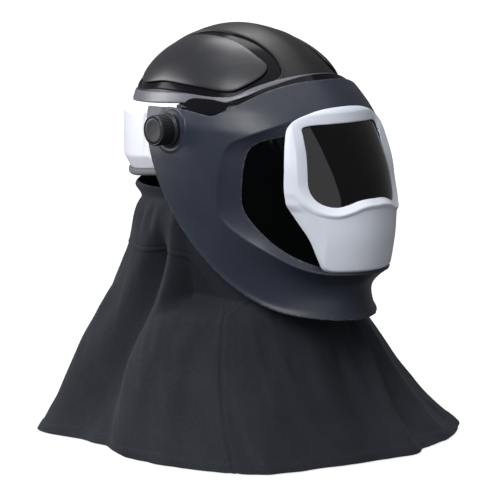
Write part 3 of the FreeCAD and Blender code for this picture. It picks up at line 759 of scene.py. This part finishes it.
def rear_duct():
    section = [
        (-11, 312.2), (-7.5, 312.2), (0.5, 328), (0.5, 382), (-8.5, 394), (-12, 394),
    ]
    obj = swept_band("rear_duct_housing", rounded_section(section, 3.0), duct_squeeze)
    finish_piece(obj, "helmet", "duct_white", "rear_air_duct")
    edging = [
        (-14, 303.5), (-7, 303.5), (-5, 305.5), (-5, 310), (-7, 312.4), (-14, 312.4),
    ]
    ring = swept_band("duct_edging", rounded_section(edging, 1.5), lip_squeeze)
    finish_piece(ring, "helmet", "collar_grey", "neck_collar")


# ---- welding shield -----------------------------------------------------------------------
def shell_grid(rows, z0, z1, dz, cols, back, depth=0.0, front_only=None):
    z = np.arange(z0, z1 + dz, dz)
    t0, t1 = (-back, pi + back) if front_only is None else (front_only, pi - front_only)
    t, z = np.meshgrid(np.linspace(t0, t1, cols), z)
    a, f = table(rows, 1, z) - depth, table(rows, 2, z) - depth
    y = np.where(np.sin(t) >= 0, -f * np.sin(t), -(SHIELD_REAR - depth) * np.sin(t))
    return np.stack([-a * np.cos(t), y, z], -1)


def side_ring(line, *corners):
    return closed_by(smooth(line), *corners)


def window_field(y, z):
    return inside(y, z, side_ring(WINDOW_EDGE, (FACE_PAST, 217), (FACE_PAST, 376)))


def frame_field(x, y, z):
    """Signed distance into the front frame's outline, on the front of the shell only."""
    return np.where(y < -60, inside(x, z, mirrored(FRAME_EDGE)), -50)


def shield_shell():
    p = shell_grid(SHIELD_ROWS, 152, 436, 1.25, 430, 0.36)
    x, y, z = np.moveaxis(p, -1, 0)
    n = grid_normals(p, SHELL_CENTRE)
    outline = np.vstack([smooth(SHIELD_TOP), [(FACE_PAST, 430), (FACE_PAST, 158)],
                         smooth(SHIELD_REAR_EDGE)[::-1]])
    whole = inside(y, z, outline)
    recess = inside(y, z, side_ring(RECESS_EDGE, (FACE_PAST, 214.5), (FACE_PAST, 392)))
    window = window_field(y, z)
    slope = np.clip(recess, 0, None) / (np.clip(recess, 0, None) + np.clip(-window, 0, None) + 1e-6)
    depth = RECESS_DEPTH * slope ** 0.85 + 0.8 * step(recess, -0.3, 0.6) * (1 - slope)
    lip, rear = smooth(LIP_CREASE), smooth(SHIELD_REAR_EDGE)
    lower = inside(y, z, closed_by(lip, (FACE_PAST, 213), (FACE_PAST, 50), (200, 50), (200, 300))) > 0
    to_lip, to_rim = distance(y, z, lip), distance(y, z, rear)
    share = to_rim / (to_rim + to_lip + 1e-6)
    strength = 2.5 + 12.5 * step(-y, 60, 205)
    fade = step(np.hypot(to_lip, to_rim), 0, 12) * step(z, 298, 255)
    depth = depth + np.where(lower, strength * np.sin(pi * share) ** 0.9 * fade, 0)
    depth = depth - 1.6 * np.exp(-(to_rim / 3.2) ** 2) * step(z, 300, 240)
    hub = np.hypot(y, z - PIVOT_Z)
    depth = depth - 1.0 * step(hub, 28, 25.5) + 0.9 * np.exp(-((hub - 23) / 0.9) ** 2)
    g = np.minimum(np.minimum(whole, -window), 3.5 - frame_field(x, y, z))
    wall = 3.0 - 1.0 * step(window, -4, -0.5)
    obj = plate("welding_shield_shell", p - n * depth[..., None], g, wall, SHELL_CENTRE, None, 0.9, 0.4)
    finish_piece(obj, "shield", "shield_grey", "shield_shell")


def front_frame():
    p = shell_grid(SHIELD_ROWS, 209, 404, 1.0, 300, 0, 0, 0.62)
    x, y, z = np.moveaxis(p, -1, 0)
    n = grid_normals(p, SHELL_CENTRE)
    outer, opening = inside(x, z, mirrored(FRAME_EDGE)), inside(x, z, mirrored(OPENING))
    gap = np.maximum(-opening, 0)
    below = step(z, 309, 300)
    bevel = (8.0 - 3.5 * step(z, 345, 372)) * np.clip(1 - gap / BEVEL, 0, 1)
    ridge = 1.0 * np.exp(-((gap - BEVEL - 1.5) / 1.7) ** 2) * below * step(np.abs(x), 72, 52)
    chin = 1.0 * step(gap, BEVEL + 3, BEVEL + 6) * below
    low = step(z, 296, 284)
    facet = 5.0 + 11.0 * step(z, 222, 268)
    chamfer = 4.4 * np.clip(1 - outer / facet, 0, 1) * low + 1.4 * np.clip(1 - outer / 6.0, 0, 1) ** 2
    lift = 2.0 - 1.2 * step(z, 345, 312) + ridge - bevel - chin - chamfer
    g = np.minimum(outer, -opening) - 1.0
    wall = 7.0 + lift - 3.0
    obj = plate("window_surround", p + n * lift[..., None], g, np.maximum(wall, 2.0), SHELL_CENTRE, None,
                1.3, 0.4)
    finish_piece(obj, "shield", "frame_silver", "front_frame")


def cover_plate():
    p = shell_grid(SHIELD_ROWS, 284, 396, 1.6, 120, 0, 5.6, 0.85)
    g = inside(p[..., 0], p[..., 2], mirrored(OPENING)) + 5
    obj = plate("outer_plate", p, g, 1.4, SHELL_CENTRE, None, 0.3, 0.2)
    finish_piece(obj, "shield", "plate_clear", "outer_cover_plate")


def side_window(side, name):
    p = shell_grid(SHIELD_ROWS, 206, 388, 1.8, 420, 0, 10.3, 0.0)
    x, y, z = np.moveaxis(shell_grid(SHIELD_ROWS, 206, 388, 1.8, 420, 0, 0, 0.0), -1, 0)
    covered = np.where(p[..., 1] < -60, inside(x, z, mirrored(FRAME_EDGE)), -50)
    g = np.minimum(window_field(y, z) + 3.5, 12 - covered)
    g = np.where(p[..., 0] * side > 20, g, -5.0)
    obj = plate(name, p, g, 1.0, SHELL_CENTRE, None, 0.3, 0.2)
    node_name = "side_window_right" if side < 0 else "side_window_left"
    finish_piece(obj, "shield", "window_dark", node_name)


# ---- visor --------------------------------------------------------------------------------
VISOR_TOP = [
    (0, 385), (-6, 393), (-15, 405), (-44, 407), (-74, 405), (-88, 412), (-104, 425), (-120, 436),
    (-140, 439),
]
VISOR_REAR = [
    (-14, 356), (-22, 330), (-44, 296), (-90, 264), (-140, 250), (-200, 244),
]
VISOR_BROW = [(-30, 352), (-60, 372), (-100, 392), (-130, 398), (-200, 401)]


def dome_gap(x, y, z):
    """Approximate distance outside the dome, large below its base."""
    level = np.clip((z - DOME_Z) / DOME_H, 0, 1) ** DOME_POWER
    size = np.sqrt((x / DOME_A) ** 2 + ((y - DOME_Y) / DOME_B) ** 2 + level)
    return (size - 1) * 115


def visor_surface(depth, z0, z1, dz, cols, back):
    p = shell_grid(VISOR_ROWS, z0, z1, dz, cols, back, depth)
    x, y, z = np.moveaxis(p, -1, 0)
    arm = 115.5 - depth - 0.35 * np.maximum(0, -y - 38)
    a, f = table(SHIELD_ROWS, 1, z) - 4.6 - depth, table(SHIELD_ROWS, 2, z) - 4.6 - depth
    limit = a * np.sqrt(np.clip(1 - (y / f) ** 2, 0, 1))
    use = step(z, 352, 371) * step(y, -84, -70)
    wide = np.minimum(np.maximum(np.abs(x), arm), np.maximum(limit, np.abs(x)))
    p[..., 0] = np.sign(x) * (np.abs(x) * (1 - use) + wide * use)
    return p


def visor_pieces():
    p = visor_surface(0, 238, 442, 1.4, 380, 0.12)
    x, y, z = np.moveaxis(p, -1, 0)
    body = inside(y, z, np.vstack([smooth(VISOR_TOP), [(FACE_PAST, 439), (FACE_PAST, 244)],
                                   smooth(VISOR_REAR)[::-1]]))
    ear = 15.8 - np.hypot(y, z - PIVOT_Z)
    light = inside(y, z, side_ring(VISOR_BROW, (FACE_PAST, 401), (FACE_PAST, 253), (-140, 259), (-96, 272),
                                   (-54, 304),
                                   (-33, 336)))
    bore = np.hypot(y, z - PIVOT_Z) - 6.3
    g = np.minimum(np.minimum(np.maximum(body, ear), -light), bore)
    wall = np.clip(dome_gap(x, y, z) - 1.9, 0.9, 3.0)
    near = (np.abs(y) < 34) & (z < 399)
    wall = np.where(near, np.clip(np.abs(x) - 113.0, 0.9, 3.0), wall)
    frame_obj = plate("visor_brow_and_ears", p, g, wall, SHELL_CENTRE, None, 0.5, 0.2)
    finish_piece(frame_obj, "visor", "visor_black", "visor_frame")
    lens = plate("visor_clear_lens", p, light + 0.5, 2.0, SHELL_CENTRE, None, 0.2, 0.1)
    finish_piece(lens, "visor", "visor_clear", "visor_lens")


# ---- tension knobs ------------------------------------------------------------------------
def knob(side, name):
    def ripple(x, r, a):
        if 134.6 < x < 150.3 and r > 15:
            return r - 0.45 * max(0.0, cos(40 * a)) ** 2
        return r
    profile = [
        (129.4, 6.2), (129.4, 19.6), (129.9, 20.3), (130.6, 20.6), (131.8, 20.6), (132.6, 20.2),
        (133.0, 19.2), (133.3, 17.9), (134.2, 17.5), (134.7, 17.5), (137, 17.8), (141, 17.9), (145, 17.9),
        (148.5, 17.8), (149.9, 17.7), (150.9, 17.5), (151.7, 17.1), (152.2, 16.5), (152.3, 16.0),
        (152.1, 15.5), (151.5, 15.2), (146.5, 15.0), (146.5, 6.2),
    ]
    verts, faces = lathe_x(profile, 320, (0, PIVOT_Z), side, ripple)
    finish_piece(add_mesh("knob_grip_" + name, verts, faces), "knob_" + name, "knob_black",
                 "tension_knob_" + name)
    profile = [
        (146.7, 0.5), (146.7, 14.8), (151.3, 14.8), (151.7, 14.6), (151.9, 14.0), (151.9, 12.0),
        (151.7, 8), (151.6, 4), (151.6, 0.5),
    ]
    verts, faces = lathe_x(profile, 96, (0, PIVOT_Z), side)
    finish_piece(add_mesh("knob_face_" + name, verts, faces), "knob_" + name, "knob_black",
                 "knob_cap_" + name)


# ---- fabric shroud ------------------------------------------------------------------------
SHROUD_ROWS = [
    (0, 255, 255, 0), (50, 214, 214, 18), (112, 172, 181, 31), (192, 128, 142, 34), (240, 120, 116, 34),
    (290, 108, 110, 30), (318, 104, 112, 28),
]
CHIN_REACH = [
    (150, 150), (192, 142), (212, 150), (228, 180), (243, 205), (300, 214),
]
# hem radius by direction, degrees anticlockwise from +X
HEM_RADIUS = [
    (0, 250), (14, 238), (27, 252), (42, 244), (58, 256), (74, 243), (90, 254), (106, 240), (120, 250),
    (132, 246), (143, 257), (154, 233), (165, 226), (170, 205), (187, 211), (202, 224), (213, 232),
    (222, 239), (233, 248), (237, 238), (251, 228), (263, 228), (274, 237), (289, 243), (301, 247),
    (318, 257), (332, 243), (346, 255),
]
# folds: height range, direction at the top and at the bottom, depth, width in degrees
FOLDS = [
    (5, 250, 181.5, 162, -27, 9.5), (5, 235, 199, 187, 8, 11), (0, 185, 148, 146, 7, 8),
    (5, 150, 214, 205, -4, 7), (5, 150, 290, 279, 9, 3.2), (10, 150, 296, 287, -8, 4.5),
    (20, 160, 303, 299, 6, 4), (10, 130, 273, 268, -5, 5), (5, 140, 258, 262, 5, 6),
    (0, 110, 243, 247, -4, 5), (0, 100, 206, 203, 4, 6), (0, 120, 197, 194, -3, 5), (0, 190, 8, 12, 8, 6),
    (0, 190, 24, 20, -9, 6), (0, 170, 40, 44, 7, 6), (0, 190, 62, 58, -8, 7), (0, 180, 80, 78, 8, 6),
    (0, 190, 97, 100, -8, 6), (0, 170, 118, 115, 7, 6), (0, 190, 133, 137, -7, 6),
    (0, 180, 330, 334, -8, 6), (0, 170, 345, 343, 7, 6),
]
YOKE_SEAM = [
    (90, 226), (120, 224), (150, 221), (169, 219), (185, 223), (197, 210), (205, 196), (210, 186),
    (216, 169), (221, 153), (228, 165), (234, 175), (250, 186), (270, 190),
]
SEAM_MM = 2.6                # rough length of one degree round the shroud where the seams are
HEM_Z = 12.0
SHROUD_CENTRE = (0, 20, 120)


def ring_interp(angle, table_rows):
    """Smooth periodic value by angle in degrees."""
    a = np.array([r[0] for r in table_rows] + [table_rows[0][0] + 360], float)
    v = np.array([r[1] for r in table_rows] + [table_rows[0][1]], float)
    fine = np.arange(0, 360, 0.5)
    base = np.interp(fine, a, v)
    kernel = np.exp(-(np.arange(-14, 15) / 6.0) ** 2)
    soft = np.convolve(np.concatenate([base[-14:], base, base[:14]]), kernel / kernel.sum(), "same")[14:-14]
    return np.interp(np.mod(angle, 360), np.append(fine, 360), np.append(soft, soft[0]))


def turn_from(angle, centre):
    return (angle - centre + 180) % 360 - 180


def fold_depth(angle, z):
    """Outward movement of the cloth by all its folds, mm."""
    total = np.zeros(np.broadcast(angle, z).shape)
    for low, high, top, bottom, depth, width in FOLDS:
        share = np.clip((z - low) / (high - low), 0, 1)
        away = turn_from(angle, bottom + (top - bottom) * share)
        size = width * (0.55 + 0.65 * (1 - share))
        fade = step(z, high + 12, high - 45) * (0.35 + 0.65 * step(z, low - 30, low + 25))
        total += depth * fade * np.exp(-(away / size) ** 2)
    return total


def seam_distance(angle, z):
    """Distance from the yoke seam in mm, and whether the point is above it."""
    half = np.where(np.abs(turn_from(angle, 180)) <= 90, np.mod(angle, 360), 0)
    folded = np.where((half >= 90) & (half <= 270), half, np.mod(180 - angle, 360))
    line = smooth(YOKE_SEAM, per=6)
    line = line * [SEAM_MM, 1]
    d = distance(folded * SEAM_MM, z, line)
    height = np.interp(folded, line[:, 0] / SEAM_MM, line[:, 1])
    return d, z > height


def front_seam_distance(angle, z):
    """Distance from the two upright front seams, mm."""
    best = np.full(np.broadcast(angle, z).shape, 999.0)
    for low, high in ((223, 221), (317, 319)):
        where = low + (high - low) * np.clip(z / 153, 0, 1)
        d = np.abs(turn_from(angle, where)) * (2.6 + 1.7 * step(z, 150, 0))
        best = np.minimum(best, np.where(z < 156, d, 999))
    return best


def cloth_surface(angle, z):
    """Outer face of the shroud at a direction (degrees) and a height, before stitching."""
    t = np.radians(angle)
    a, b, c = (table(SHROUD_ROWS, k, z) for k in (1, 2, 3))
    chin = np.interp(z, [r[0] for r in CHIN_REACH], [r[1] for r in CHIN_REACH])
    b = np.where(np.sin(t) < 0, np.where(z > 150, np.maximum(b, chin), b), b)
    hem = (ring_interp(angle, HEM_RADIUS) - 255) * np.exp(-np.maximum(z, 0) / 62)
    drape = 2.2 * value_noise(angle / 9.0 + 3 * np.sin(z / 60), z / 95, 5) * step(z, 235, 60)
    creases = 0.9 * value_noise(angle / 3.1 + z / 40, z / 26, 9) * step(z, 290, 190)
    rise = lower_rise(c + b * np.sin(t)) * 0.9
    roll = 8.0 * np.exp(-((z - rise - 293) / 7.5) ** 2) - 2.5 * np.exp(-((z - rise - 277) / 5.5) ** 2)
    pinch = 1.6 * np.sin(np.radians(angle) * 31 + 0.6 * np.sin(angle / 7)) * step(z, 225, 262)
    out = hem + fold_depth(angle, z) + drape + creases + roll + pinch * step(z, 284, 262)
    x, y = (a + out) * np.cos(t), c + (b + out) * np.sin(t)
    reach = np.hypot(x / (table(SHIELD_ROWS, 1, z) - 10), y / (table(SHIELD_ROWS, 2, z) - 22))
    under = step(y, 12, -4) * step(z, 150, 175)
    shrink = 1 + (1 / np.maximum(reach, 1) - 1) * under
    x, y = x * shrink, y * shrink
    return np.stack([x, y, z + np.zeros_like(x)], -1)


def cloth_lengths(p):
    """Distance along the cloth round and up, for the weave."""
    warp = np.concatenate([np.zeros((p.shape[0], 1)),
                           np.cumsum(np.linalg.norm(np.diff(p, axis=1), axis=2), 1)], 1)
    weft = np.concatenate([np.zeros((1, p.shape[1])),
                           np.cumsum(np.linalg.norm(np.diff(p, axis=0), axis=2), 0)], 0)
    middle = warp[len(warp) // 2]
    return np.broadcast_to(middle[None], warp.shape).copy(), weft


def shroud():
    heights = np.concatenate([np.arange(1.5, 20, 1.25), np.arange(20, 216, 2.3),
                              np.arange(216, 300.1, 1.4)])
    angle, z = np.meshgrid(np.linspace(0, 360, 721), heights)
    p = cloth_surface(angle, z)
    n = grid_normals(p, SHROUD_CENTRE)
    seam, upper = seam_distance(angle, z)
    fronts = front_seam_distance(angle, z)
    lift = np.where(upper, 1.1 * step(seam, 0, 1.4), 0.0) - 0.9 * np.exp(-((seam - 5.5) / 1.1) ** 2) * upper
    lift -= 0.9 * np.exp(-(fronts / 1.6) ** 2)
    lift += 0.4 * step(fronts, 1, 3) * step(fronts, 9, 6.5)
    band = step(z, HEM_Z + 0.9, HEM_Z - 0.9)
    lift += 1.2 * band - 0.8 * np.exp(-((z - HEM_Z + 1.6) / 1.0) ** 2)
    p = p + n * lift[..., None]
    p[..., 2] = np.maximum(p[..., 2], 0)
    y = p[..., 1]
    top = 243 + 55 * step(y, -38, -16)
    warp, weft = cloth_lengths(p)
    obj = plate("shroud_cloth", p, top - z, 1.5, SHROUD_CENTRE, {"warp": warp, "weft": weft}, 0.5, 0.3)
    finish_piece(obj, "helmet", "shroud_fabric", "shroud_skirt", "shroud_hem", "shroud_yoke",
                 "shroud_chin_panel")


def stitches(name, angles, heights, pitch, width, lift):
    """A row of short threads along a line on the cloth."""
    angles, heights = np.asarray(angles, float), np.asarray(heights, float)
    p = cloth_surface(angles, heights)
    run = np.concatenate([[0], np.cumsum(np.linalg.norm(np.diff(p, axis=0), axis=1))])
    verts, faces = [], []
    for m in np.arange(pitch / 2, run[-1], pitch):
        span = [m - pitch * 0.34, m + pitch * 0.34]
        a, h = np.interp(span, run, angles), np.interp(span, run, heights)
        ends = cloth_surface(a, h)
        side = cloth_surface(np.array([a[0] + 0.2, a[0]]), np.array([h[0], h[0] + 0.5]))
        out = np.cross(side[0] - ends[0], side[1] - ends[0])
        out /= np.linalg.norm(out)
        if out @ (ends[0] - [0, 20, ends[0][2]]) < 0:
            out = -out
        along = ends[1] - ends[0]
        length = np.linalg.norm(along)
        along /= max(length, 1e-6)
        across = np.cross(out, along)
        start = len(verts)
        for s, r, sink in ((0.0, 0.3, -0.5), (0.2, 0.85, 0.05), (0.5, 1.0, 0.15), (0.8, 0.85, 0.05),
                           (1.0, 0.3, -0.5)):
            middle = ends[0] + along * length * s + out * (lift + sink)
            for k in range(6):
                q = k / 6 * 2 * pi
                verts.append(middle + (across * cos(q) + out * sin(q) * 0.7) * r * width)
        faces += ring_faces(5, 6, start) + end_faces(5, 6, start)
    obj = add_mesh(name, verts, faces)
    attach(obj, "helmet")
    obj.data.materials.append(THREAD)


def shroud_stitching():
    turn = np.linspace(0, 359.9, 900)
    stitches("hem_stitching", turn, np.full(900, HEM_Z - 1.6), 4.2, 0.38, 0.7)
    seam = smooth(YOKE_SEAM, per=14)
    seam = seam[(seam[:, 0] > 91) & (seam[:, 0] < 269)]
    for name, angles in (("yoke_stitching_right", seam[:, 0]), ("yoke_stitching_left", 180 - seam[:, 0])):
        stitches(name, angles, seam[:, 1] + 5.5, 4.0, 0.38, 0.5)


# ---- pads ---------------------------------------------------------------------------------
PAD_SWELL = 0.3              # extra thickness towards the head


def padded_strip(name, node_name, body, inner, outer, z0, z1):
    """Crowned pad that follows a path: inner and outer are points along its two faces."""
    inner, outer = np.array(inner, float), np.array(outer, float)
    count, ring = len(inner), 24
    verts = []
    for i in range(count):
        end = min(i, count - 1 - i) / 4
        full = min(1, end) ** 0.5 if end < 1 else 1
        quilt = 0.8 + 0.2 * abs(sin(i / count * pi * 5))
        for k in range(ring):
            q = 2 * pi * k / ring
            across, up = cos(q), sin(q)
            across = np.sign(across) * abs(across) ** 0.6
            up = np.sign(up) * abs(up) ** 0.6
            mid = (inner[i] + outer[i]) / 2
            half = (outer[i] - inner[i]) / 2
            point = mid + half * across * (full * (1 + (PAD_SWELL if across < 0 else 0) * quilt))
            z = (z0 + z1) / 2 + (z1 - z0) / 2 * up * (0.75 + 0.25 * full)
            verts.append((point[0], point[1], z))
    obj = add_mesh(name, verts, ring_faces(count, ring) + end_faces(count, ring))
    finish_piece(obj, body, "padding", node_name)


def arc_points(a, b, centre_y, t0, t1):
    t = np.radians(np.linspace(t0, t1, 44))
    return np.stack([a * np.cos(t), centre_y + b * np.sin(t)], 1)


def pads():
    padded_strip("brow_cushion", "brow_pad", "helmet", arc_points(72, 92, 15, -140, -40),
                 arc_points(77.8, 97.8, 15, -140, -40), 384.5, 407.5)
    padded_strip("nape_cushion", "nape_pad", "nape", arc_points(75.2, 34, 78, 45, 135),
                 arc_points(80.8, 39.6, 78, 45, 135), 373, 393)
    rings, spokes = 16, 72
    verts = []
    for side in (1, -1):
        for i in range(rings + 1):
            rho = i / rings
            for k in range(spokes):
                q = 2 * pi * k / spokes
                x, y = 33.5 * rho * cos(q), DOME_Y + 33.5 * rho * sin(q)
                level = (1 - (x / 81.6) ** 2 - ((y - DOME_Y) / 120.6) ** 2) ** (1 / DOME_POWER)
                crown = DOME_Z + 66.4 * level - 2.6
                puff = 2.6 * (1 - rho ** 4) ** 0.5 * (1 - 0.25 * np.exp(-((rho - 0.55) / 0.08) ** 2))
                verts.append((x, y, crown + side * puff))
    layer = (rings + 1) * spokes
    faces = ring_faces(rings + 1, spokes, 0, True) + ring_faces(rings + 1, spokes, layer)
    obj = weld(add_mesh("crown_cushion", verts, faces))
    finish_piece(obj, "helmet", "padding", "crown_pad")


# ---- what is kept from the CAD ------------------------------------------------------------
def dress_cad_nodes():
    for entry in frame["record"]["subparts"]:
        mesh = frame["nodes"][entry["node"]].data
        mesh.materials.clear()
        mesh.materials.append(MATERIALS[entry["material_slot"]])


# ---- camera, floor and light --------------------------------------------------------------
CAMERA_TARGET = (0, 0, 0.215)
LIGHT_TARGET = (0, 0, 0.25)


def direction(azimuth, elevation):
    a, e = radians(azimuth), radians(elevation)
    return Vector((sin(a) * cos(e), -cos(a) * cos(e), sin(e)))


def aim_from(obj, target, azimuth, elevation, reach):
    """Puts a camera or light at a distance from its target and turns it there."""
    obj.location = Vector(target) + direction(azimuth, elevation) * reach
    obj.rotation_euler = (Vector(target) - obj.location).to_track_quat("-Z", "Y").to_euler()


def camera():
    data = bpy.data.cameras.new("camera")
    data.lens = 174.0
    data.sensor_width = 36.0
    data.clip_end = 50.0
    obj = add_object("camera", data)
    aim_from(obj, CAMERA_TARGET, -43, 9.5, 2.9)
    bpy.context.scene.camera = obj


def area_light(name, azimuth, elevation, reach, size, power, size_y=None):
    data = bpy.data.lights.new(name, "AREA")
    data.shape = "RECTANGLE"
    data.size, data.size_y = size, size_y or size
    data.energy = power
    aim_from(add_object(name, data), LIGHT_TARGET, azimuth, elevation, reach)


def plain_stage_material(name, colour, glow):
    mat, tree, shader, place = base_material(name)
    pale = [min(c * 1.03, 1) for c in colour]
    grain = noise(tree, place, Scale=120.0, Detail=4.0)
    tree.links.new(tint(tree, grain, colour, pale), shader.inputs["Base Color"])
    shader.inputs["Roughness"].default_value = 0.9
    shader.inputs["Specular IOR Level"].default_value = 0.0
    shader.inputs["Emission Color"].default_value = (1, 1, 1, 1)
    shader.inputs["Emission Strength"].default_value = glow
    return mat


def stage():
    size, count = 1.6, 96
    corners = [(size * cos(2 * pi * k / count), size * sin(2 * pi * k / count), 0) for k in range(count)]
    mesh = bpy.data.meshes.new("floor")
    mesh.from_pydata(corners, [], [list(range(count))])
    floor = add_object("floor", mesh)
    mesh.materials.append(plain_stage_material("floor_paper", (0.3, 0.3, 0.3), 0.78))
    floor.visible_diffuse = floor.visible_glossy = floor.visible_transmission = False
    sky = bpy.data.meshes.new("backdrop")
    bm = bmesh.new()
    bmesh.ops.create_uvsphere(bm, u_segments=48, v_segments=24, radius=12.0)
    bm.to_mesh(sky)
    bm.free()
    dome = add_object("backdrop", sky)
    sky.materials.append(plain_stage_material("backdrop_paper", (0.9, 0.9, 0.9), 1.0))
    dome.visible_diffuse = dome.visible_glossy = dome.visible_transmission = dome.visible_shadow = False
    world = bpy.data.worlds.new("studio")
    world.use_nodes = True
    world.node_tree.nodes["Background"].inputs["Color"].default_value = (1, 1, 1, 1)
    world.node_tree.nodes["Background"].inputs["Strength"].default_value = 0.16
    bpy.context.scene.world = world
    bpy.context.scene.view_settings.view_transform = "Standard"
    area_light("overhead", 0, 88, 2.6, 3.0, 38)
    area_light("key", -80, 36, 2.6, 1.3, 50)
    area_light("rear_rim", -150, 12, 2.6, 1.4, 34)
    area_light("crown_highlight", 150, 60, 2.4, 1.0, 18)
    area_light("front_card", -39, 25, 4.2, 3.06, 44, size_y=5.4)


THREAD = plastic("sewing_thread", (0.02, 0.022, 0.028), (0.035, 0.037, 0.045), 0.7, grain=3000)

helmet_shell()
rim_trim()
crown_panel(-1, "crown_leaf_right")
crown_panel(1, "crown_leaf_left")
rear_duct()
shield_shell()
front_frame()
cover_plate()
side_window(-1, "side_pane_right")
side_window(1, "side_pane_left")
visor_pieces()
knob(-1, "right")
knob(1, "left")
shroud()
shroud_stitching()
pads()
dress_cad_nodes()
stage()
camera()
